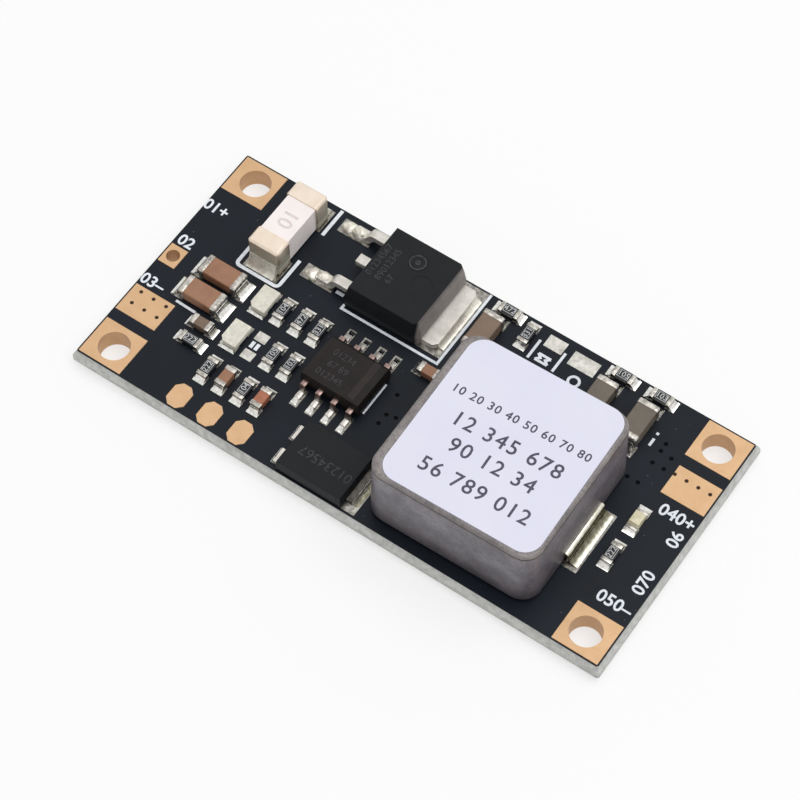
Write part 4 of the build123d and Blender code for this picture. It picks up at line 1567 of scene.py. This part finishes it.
@dataclass
class SolderWork:
    """The solder: hollow fillets up the parts' ends, made from the places of the CAD ramps."""

    hollow: float = 0.14
    run_out: float = 0.94
    hollow_steps: int = 10
    side_rounding: float = 0.1
    side_steps: int = 3
    side_angle: float = math.radians(60)
    skin_angle: float = math.radians(70)
    ripple: float = 0.02
    ripple_size: float = 0.35
    flare: tuple[Flare, ...] = (
        Flare(-0.01, 0.04, 0.96), Flare(0.04, 0.2, 0.78), Flare(0.2, 0.6, 0.8), Flare(0.6, 1.01, 1.12),
    )
    wide: float = 2.0
    wide_rise: float = 0.7
    heap_ripple: float = 0.2
    heap_ripple_size: float = 0.5
    heap_grid: float = 0.05
    ball_subdivisions: int = 4
    smoothing_rounds: int = 4
    heaps: tuple[Heap, ...] = (
        Heap(-11.4, 8.9, 0.72, 0.52, 0.5),
        Heap(-10.5, 8.82, 0.75, 0.5, 0.78),
        Heap(-11.35, 4.25, 0.7, 0.54, 0.48),
        Heap(-10.45, 4.36, 0.72, 0.5, 0.76),
    )

    def unit_fillet(self, flare: tuple[Flare, ...]) -> Piece:
        """A hollow fillet one millimetre long, wide and high, with its upright face at the origin.

        Args:
            flare: Stretches of its length with their widths. A narrow fillet has a waist and
                spreads like a fish tail at its far end, a wide one is straight.

        Returns:
            The fillet.
        """
        fillet = add_box("fillet", Vector((1, 1, 1)), Vector((0.5, 0, 0.5)))
        far_crest = Vector((1, 0, 1)) * MM
        with edit_mode(fillet, Element.EDGE) as mesh:
            pick(fillet, mesh.edges, lambda edge: (middle(edge) - far_crest).length < MERGE_MM * MM)
            bpy.ops.mesh.bevel(
                offset=self.run_out * MM, segments=self.hollow_steps, profile=self.hollow
            )
        for part in flare:
            with edit_mode(fillet, Element.VERT) as mesh:
                pick(fillet, mesh.verts, lambda vert: part.start <= vert.co.x / MM < part.end)
                bpy.ops.transform.resize(value=(1, part.width, 1), center_override=(0, 0, 0))
        refine(
            fillet,
            "BEVEL",
            width=self.side_rounding * MM,
            segments=self.side_steps,
            limit_method="ANGLE",
            angle_limit=self.side_angle,
        )
        return smooth(fillet, self.skin_angle)

    def sites(self) -> list[Matrix]:
        """Reads each ramp's place, direction and size from its CAD solid.

        Returns:
            The matrices that take the unit fillet to the joints.
        """
        ramps = cad_copy("solder_joints", "ramps")
        with edit_mode(ramps, Element.VERT):
            take_all()
            bpy.ops.mesh.separate(type="LOOSE")
        found = []
        for ramp in list(bpy.context.selected_objects):
            found.append(self.site([vertex.co.copy() for vertex in ramp.data.vertices]))
            drop(ramp)
        return found

    def site(self, corners: list[Vector]) -> Matrix:
        """Works out one fillet's place from its ramp's corners.

        Args:
            corners: The ramp's corners in metres.

        Returns:
            The matrix that takes the unit fillet there.
        """
        top = max(corner.z for corner in corners)
        floor = min(corner.z for corner in corners)
        crest = [corner for corner in corners if top - corner.z < MERGE_MM * MM]
        left, right = crest[0], max(crest, key=lambda corner: (corner - crest[0]).length)
        across = right - left
        across.z = 0
        width = across.length
        out = across.normalized().cross(UP)
        centre = (left + right) / 2
        reach = max(((corner - centre).dot(out) for corner in corners), key=abs)
        out = out if reach > 0 else -out
        turn = Matrix((out, UP.cross(out), UP)).transposed().to_4x4()
        place = Matrix.Translation(Vector((centre.x, centre.y, floor)))
        shape = stretch(abs(reach) / MM, width / MM, (top - floor) / MM)
        return place @ turn @ shape

    def rippled(self, piece: Piece, height: float, size: float) -> Piece:
        """Gives solder an uneven skin of a height and a feature size in millimetres.

        Args:
            piece: The solder.
            height: The height of the skin's waves.
            size: Their length.

        Returns:
            The same piece.
        """
        clouds = bpy.data.textures.new("solder_ripple", "CLOUDS")
        clouds.noise_scale = size * MM
        return refine(piece, "DISPLACE", texture=clouds, strength=height * MM, texture_coords="LOCAL")

    def heaped(self) -> Piece:
        """The uneven heaps over the power switch's feet, cut level at the lands.

        Returns:
            The heaps as one piece.
        """
        level = top_of("tinned_lands").z
        balls = []
        for heap in self.heaps:
            add = bpy.ops.mesh.primitive_ico_sphere_add
            ball = add_shape("ball", add, subdivisions=self.ball_subdivisions, radius=MM)
            shape = stretch(heap.length, heap.width, heap.height)
            ball.data.transform(move_mm(heap.x, heap.y, level) @ shape)
            balls.append(ball)
        piece = join("solder_heaps", balls)
        refine(piece, "REMESH", mode="VOXEL", voxel_size=self.heap_grid * MM)
        refine(piece, "SMOOTH", iterations=self.smoothing_rounds)
        self.rippled(piece, self.heap_ripple, self.heap_ripple_size)
        with edit_mode(piece):
            take_all()
            bpy.ops.mesh.bisect(plane_co=UP * level * MM, plane_no=UP, clear_inner=True, use_fill=True)
        return DULL_SOLDER.dress(smooth(piece))

    def fillets(self, name: str, finish: Finish, places: list[Matrix], flared: bool) -> Piece:
        """Builds the fillets that share a shape and a finish.

        Args:
            name: The piece's name.
            finish: Its solder.
            places: Where the fillets go.
            flared: Whether they spread like a fish tail.

        Returns:
            The fillets as one piece.
        """
        pattern = self.unit_fillet(self.flare if flared else ())
        made = [copy_piece(pattern, place) for place in places]
        drop(pattern)
        piece = refine(join(name, made), "SUBSURF", levels=1, render_levels=1)
        return finish.dress(self.rippled(piece, self.ripple, self.ripple_size))

    def build(self) -> list[Piece]:
        """Builds all the solder.

        Returns:
            The solder's pieces.
        """
        narrow, wide, worked = [], [], []
        for place in self.sites():
            if place.to_scale().y < self.wide:
                narrow.append(place)
            elif place.translation.x > 0:
                wide.append(place @ stretch(1, 1, self.wide_rise))
            else:
                worked.append(place)
        tails = self.fillets("solder_fillets", SOLDER, narrow, True)
        # These fillets are painted olive where they climb the straps: a painted reflection of the dark
        # board.
        straight = self.fillets("solder_fillets_wide", STRAP_SOLDER, wide, False)
        grey = self.fillets("solder_fillets_worked", DULL_SOLDER, worked, False)
        return [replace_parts(tails, "solder_joints"), straight, grey, self.heaped()]


@dataclass
class Studio:
    """Pale floor, soft light and the camera."""

    focal_px: float = 2779.8
    eye: Vector = field(default_factory=lambda: Vector((54.76, -79.92, 164.03)))
    aim: Vector = field(default_factory=lambda: Vector((-0.46, -0.88, 2.0)))
    roll: float = -0.45
    sensor: float = 36.0
    clip_near: float = 1.0
    floor_size: float = 3000.0
    floor_glow: float = 0.6
    fill: float = 0.6
    light: Vector = field(default_factory=lambda: Vector((110, 70, 430)))
    light_size: float = 420.0
    light_power: float = 0.95
    white: str = "#ffffff"

    def camera(self) -> None:
        """Sets the camera where the photograph was taken from."""
        data = bpy.data.cameras.new("camera")
        data.sensor_width = self.sensor
        data.lens = self.focal_px * self.sensor / IMAGE_SIZE
        data.clip_start = self.clip_near * MM
        camera = bpy.data.objects.new("camera", data)
        bpy.context.collection.objects.link(camera)
        look = (self.aim - self.eye).to_track_quat("-Z", "Y").to_matrix().to_4x4()
        roll = Matrix.Rotation(math.radians(self.roll), 4, "Z")
        camera.matrix_world = Matrix.Translation(self.eye * MM) @ look @ roll
        bpy.context.scene.camera = camera

    def floor(self) -> None:
        """Adds a white floor that keeps a soft shadow."""
        floor = add_shape("floor", bpy.ops.mesh.primitive_plane_add, size=self.floor_size * MM)
        material = bpy.data.materials.new("studio_floor")
        material.use_nodes = True
        tree = material.node_tree
        tree.nodes.clear()
        paint = add_node(tree, "ShaderNodeBsdfDiffuse", {"Color": linear(self.white)})
        glow = add_node(tree, "ShaderNodeEmission", {"Color": linear(self.white), "Strength": 1.0})
        ray = add_node(tree, "ShaderNodeLightPath")
        seen = either(tree, ray.outputs["Is Camera Ray"], ray.outputs["Is Glossy Ray"])
        share = add_node(tree, "ShaderNodeMath", {1: self.floor_glow}, {0: seen}, operation="MULTIPLY")
        mix = add_node(
            tree,
            "ShaderNodeMixShader",
            links={0: share.outputs[0], 1: paint.outputs["BSDF"], 2: glow.outputs["Emission"]},
        )
        add_node(tree, "ShaderNodeOutputMaterial", links={"Surface": mix.outputs["Shader"]})
        floor.data.materials.append(material)

    def world(self) -> None:
        """Adds an even fill, which shows as white."""
        world = bpy.data.worlds.new("studio_world")
        bpy.context.scene.world = world
        world.use_nodes = True
        tree = world.node_tree
        tree.nodes.clear()
        ray = add_node(tree, "ShaderNodeLightPath")
        direct = either(tree, ray.outputs["Is Camera Ray"], ray.outputs["Is Transmission Ray"])
        seen = either(tree, direct, ray.outputs["Is Glossy Ray"])
        strength = remap(tree, seen, self.fill, 1.0)
        glow = add_node(
            tree, "ShaderNodeBackground", {"Color": linear(self.white)}, {"Strength": strength}
        )
        add_node(tree, "ShaderNodeOutputWorld", links={"Surface": glow.outputs["Background"]})

    def lamp(self) -> None:
        """Adds the square soft light, which faces the board."""
        data = bpy.data.lights.new("key", "AREA")
        data.size = self.light_size * MM
        data.energy = self.light_power
        light = bpy.data.objects.new("key", data)
        bpy.context.collection.objects.link(light)
        turn = (-self.light).to_track_quat("-Z", "Y").to_matrix().to_4x4()
        light.matrix_world = Matrix.Translation(self.light * MM) @ turn

    def build(self) -> None:
        """Sets up the studio."""
        bpy.context.scene.view_settings.view_transform = "Standard"
        self.camera()
        self.floor()
        self.world()
        self.lamp()


def main() -> None:
    """Builds every sub-assembly in turn and reports its pieces."""
    logging.basicConfig(level=logging.INFO, format="%(name)s: %(message)s")
    Studio().build()
    for assembly in (
        Board(), Legend(), Fuse(), Capacitors(), Resistors(), Inductor(), Packages(), SmallParts(),
        SolderWork(),
    ):
        for piece in assembly.build():
            LOG.info("%s: %s, %d faces", type(assembly).__name__, piece.name, len(piece.data.polygons))


if __name__ == "__main__":
    main()
